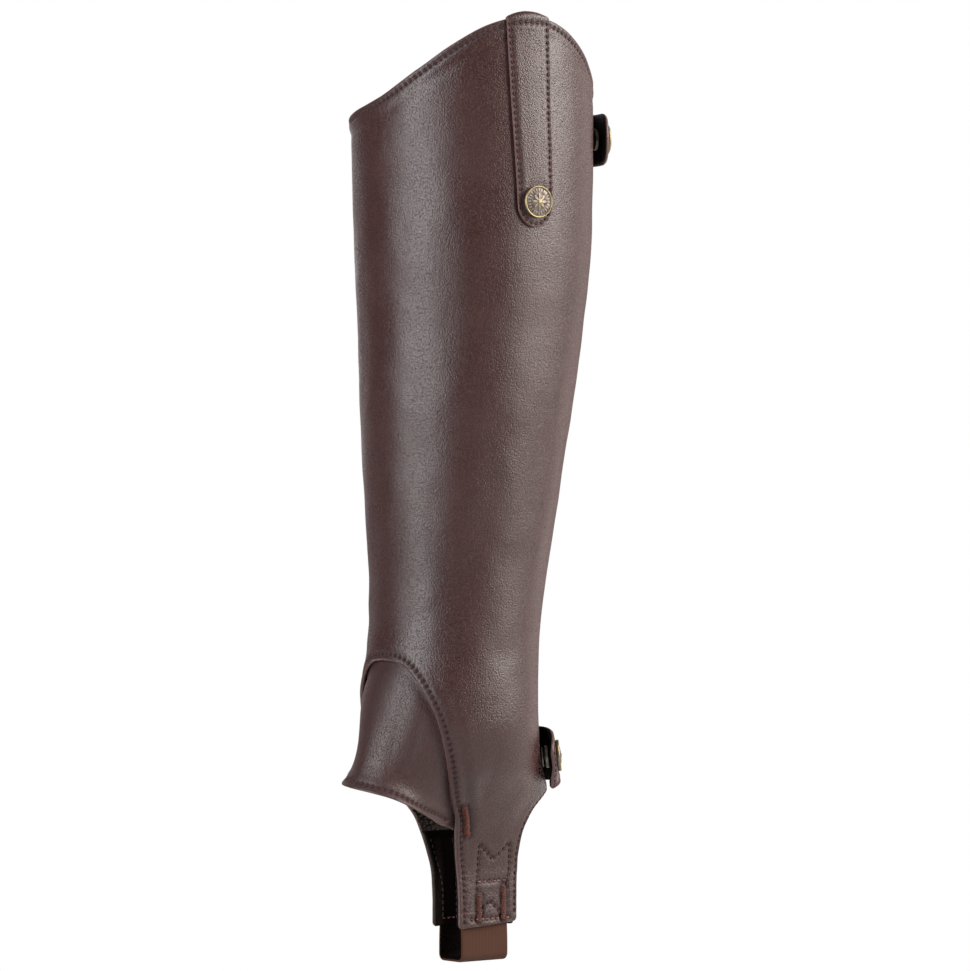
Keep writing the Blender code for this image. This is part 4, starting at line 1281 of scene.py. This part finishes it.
# Floor, world and lights

def whiteToCamera(tree, plain, kind, output):
    # the camera sees white here, while everything else is lit by the plain surface
    white = tree.nodes.new(kind)
    white.inputs["Color"].default_value = (1.0, 1.0, 1.0, 1.0)
    white.inputs["Strength"].default_value = 1.0
    seen = tree.nodes.new("ShaderNodeLightPath").outputs["Is Camera Ray"]
    blend = tree.nodes.new("ShaderNodeMixShader")
    for k, socket in enumerate((seen, plain.outputs[0], white.outputs[0])):
        tree.links.new(socket, blend.inputs[k])
    tree.links.new(blend.outputs[0], tree.nodes[output].inputs["Surface"])


floorHalf, floorLevel = 6.0, -0.3862        # metres
corners = [(x * floorHalf, y * floorHalf, floorLevel) for x, y in ((-1, -1), (1, -1), (1, 1), (-1, 1))]
floorMesh = bpy.data.meshes.new("floor")
floorMesh.from_pydata(corners, [], [(0, 1, 2, 3)])
floor = placed("floor", floorMesh)
floorLook = Look("floor", Roughness=0.9, Specular_IOR_Level=0.1)
floorLook.feed(Base_Color=floorLook.mix(floorLook.grain(40.0), (0.60, 0.59, 0.58), (0.64, 0.63, 0.62)))
whiteToCamera(floorLook.tree, floorLook.shader, "ShaderNodeEmission", "Material Output")
floorMesh.materials.append(floorLook.material)

world = bpy.data.worlds.new("studio")
bpy.context.scene.world = world
world.use_nodes = True
back = world.node_tree.nodes["Background"]
back.inputs["Color"].default_value = (0.95, 0.97, 1.0, 1.0)
back.inputs["Strength"].default_value = 0.18
whiteToCamera(world.node_tree, back, "ShaderNodeBackground", "World Output")

# name, azimuth (0 in front of the toe, 90 at the outer side), height, distance, width, height, watts, colour
lamps = (
    ("left softbox", 4.5, 0.20, 1.3, 0.78, 1.5, 49.0, (0.96, 0.975, 1.0)),
    ("right softbox", 129.5, 0.47, 1.3, 1.22, 1.28, 80.0, (1.0, 0.95, 0.90)),
    ("right rear fill", 184.0, 0.30, 1.4, 1.0, 1.5, 5.5, (1.0, 0.92, 0.87)),
    ("top fill", 60.0, 1.5, 0.9, 1.2, 1.2, 4.0, (1.0, 0.98, 0.95)),
    ("back fill", -110.0, 0.5, 1.6, 0.9, 1.4, 3.0, (0.97, 0.98, 1.0)),
)
for name, azimuth, level, distance, width, height, watts, colour in lamps:
    lamp = bpy.data.lights.new(name, "AREA")
    lamp.shape = "RECTANGLE"
    lamp.size, lamp.size_y = width, height
    lamp.energy, lamp.color = watts, colour
    holder = placed(name, lamp)
    turn = math.radians(azimuth)
    holder.location = (math.sin(turn) * distance, -math.cos(turn) * distance, level)
    aim = Vector((0.0, 0.0, -0.12)) - Vector(holder.location)
    holder.rotation_mode = "QUATERNION"
    holder.rotation_quaternion = aim.to_track_quat("-Z", "Y")
bpy.context.scene.view_settings.view_transform = "Standard"

bpy.context.view_layer.update()
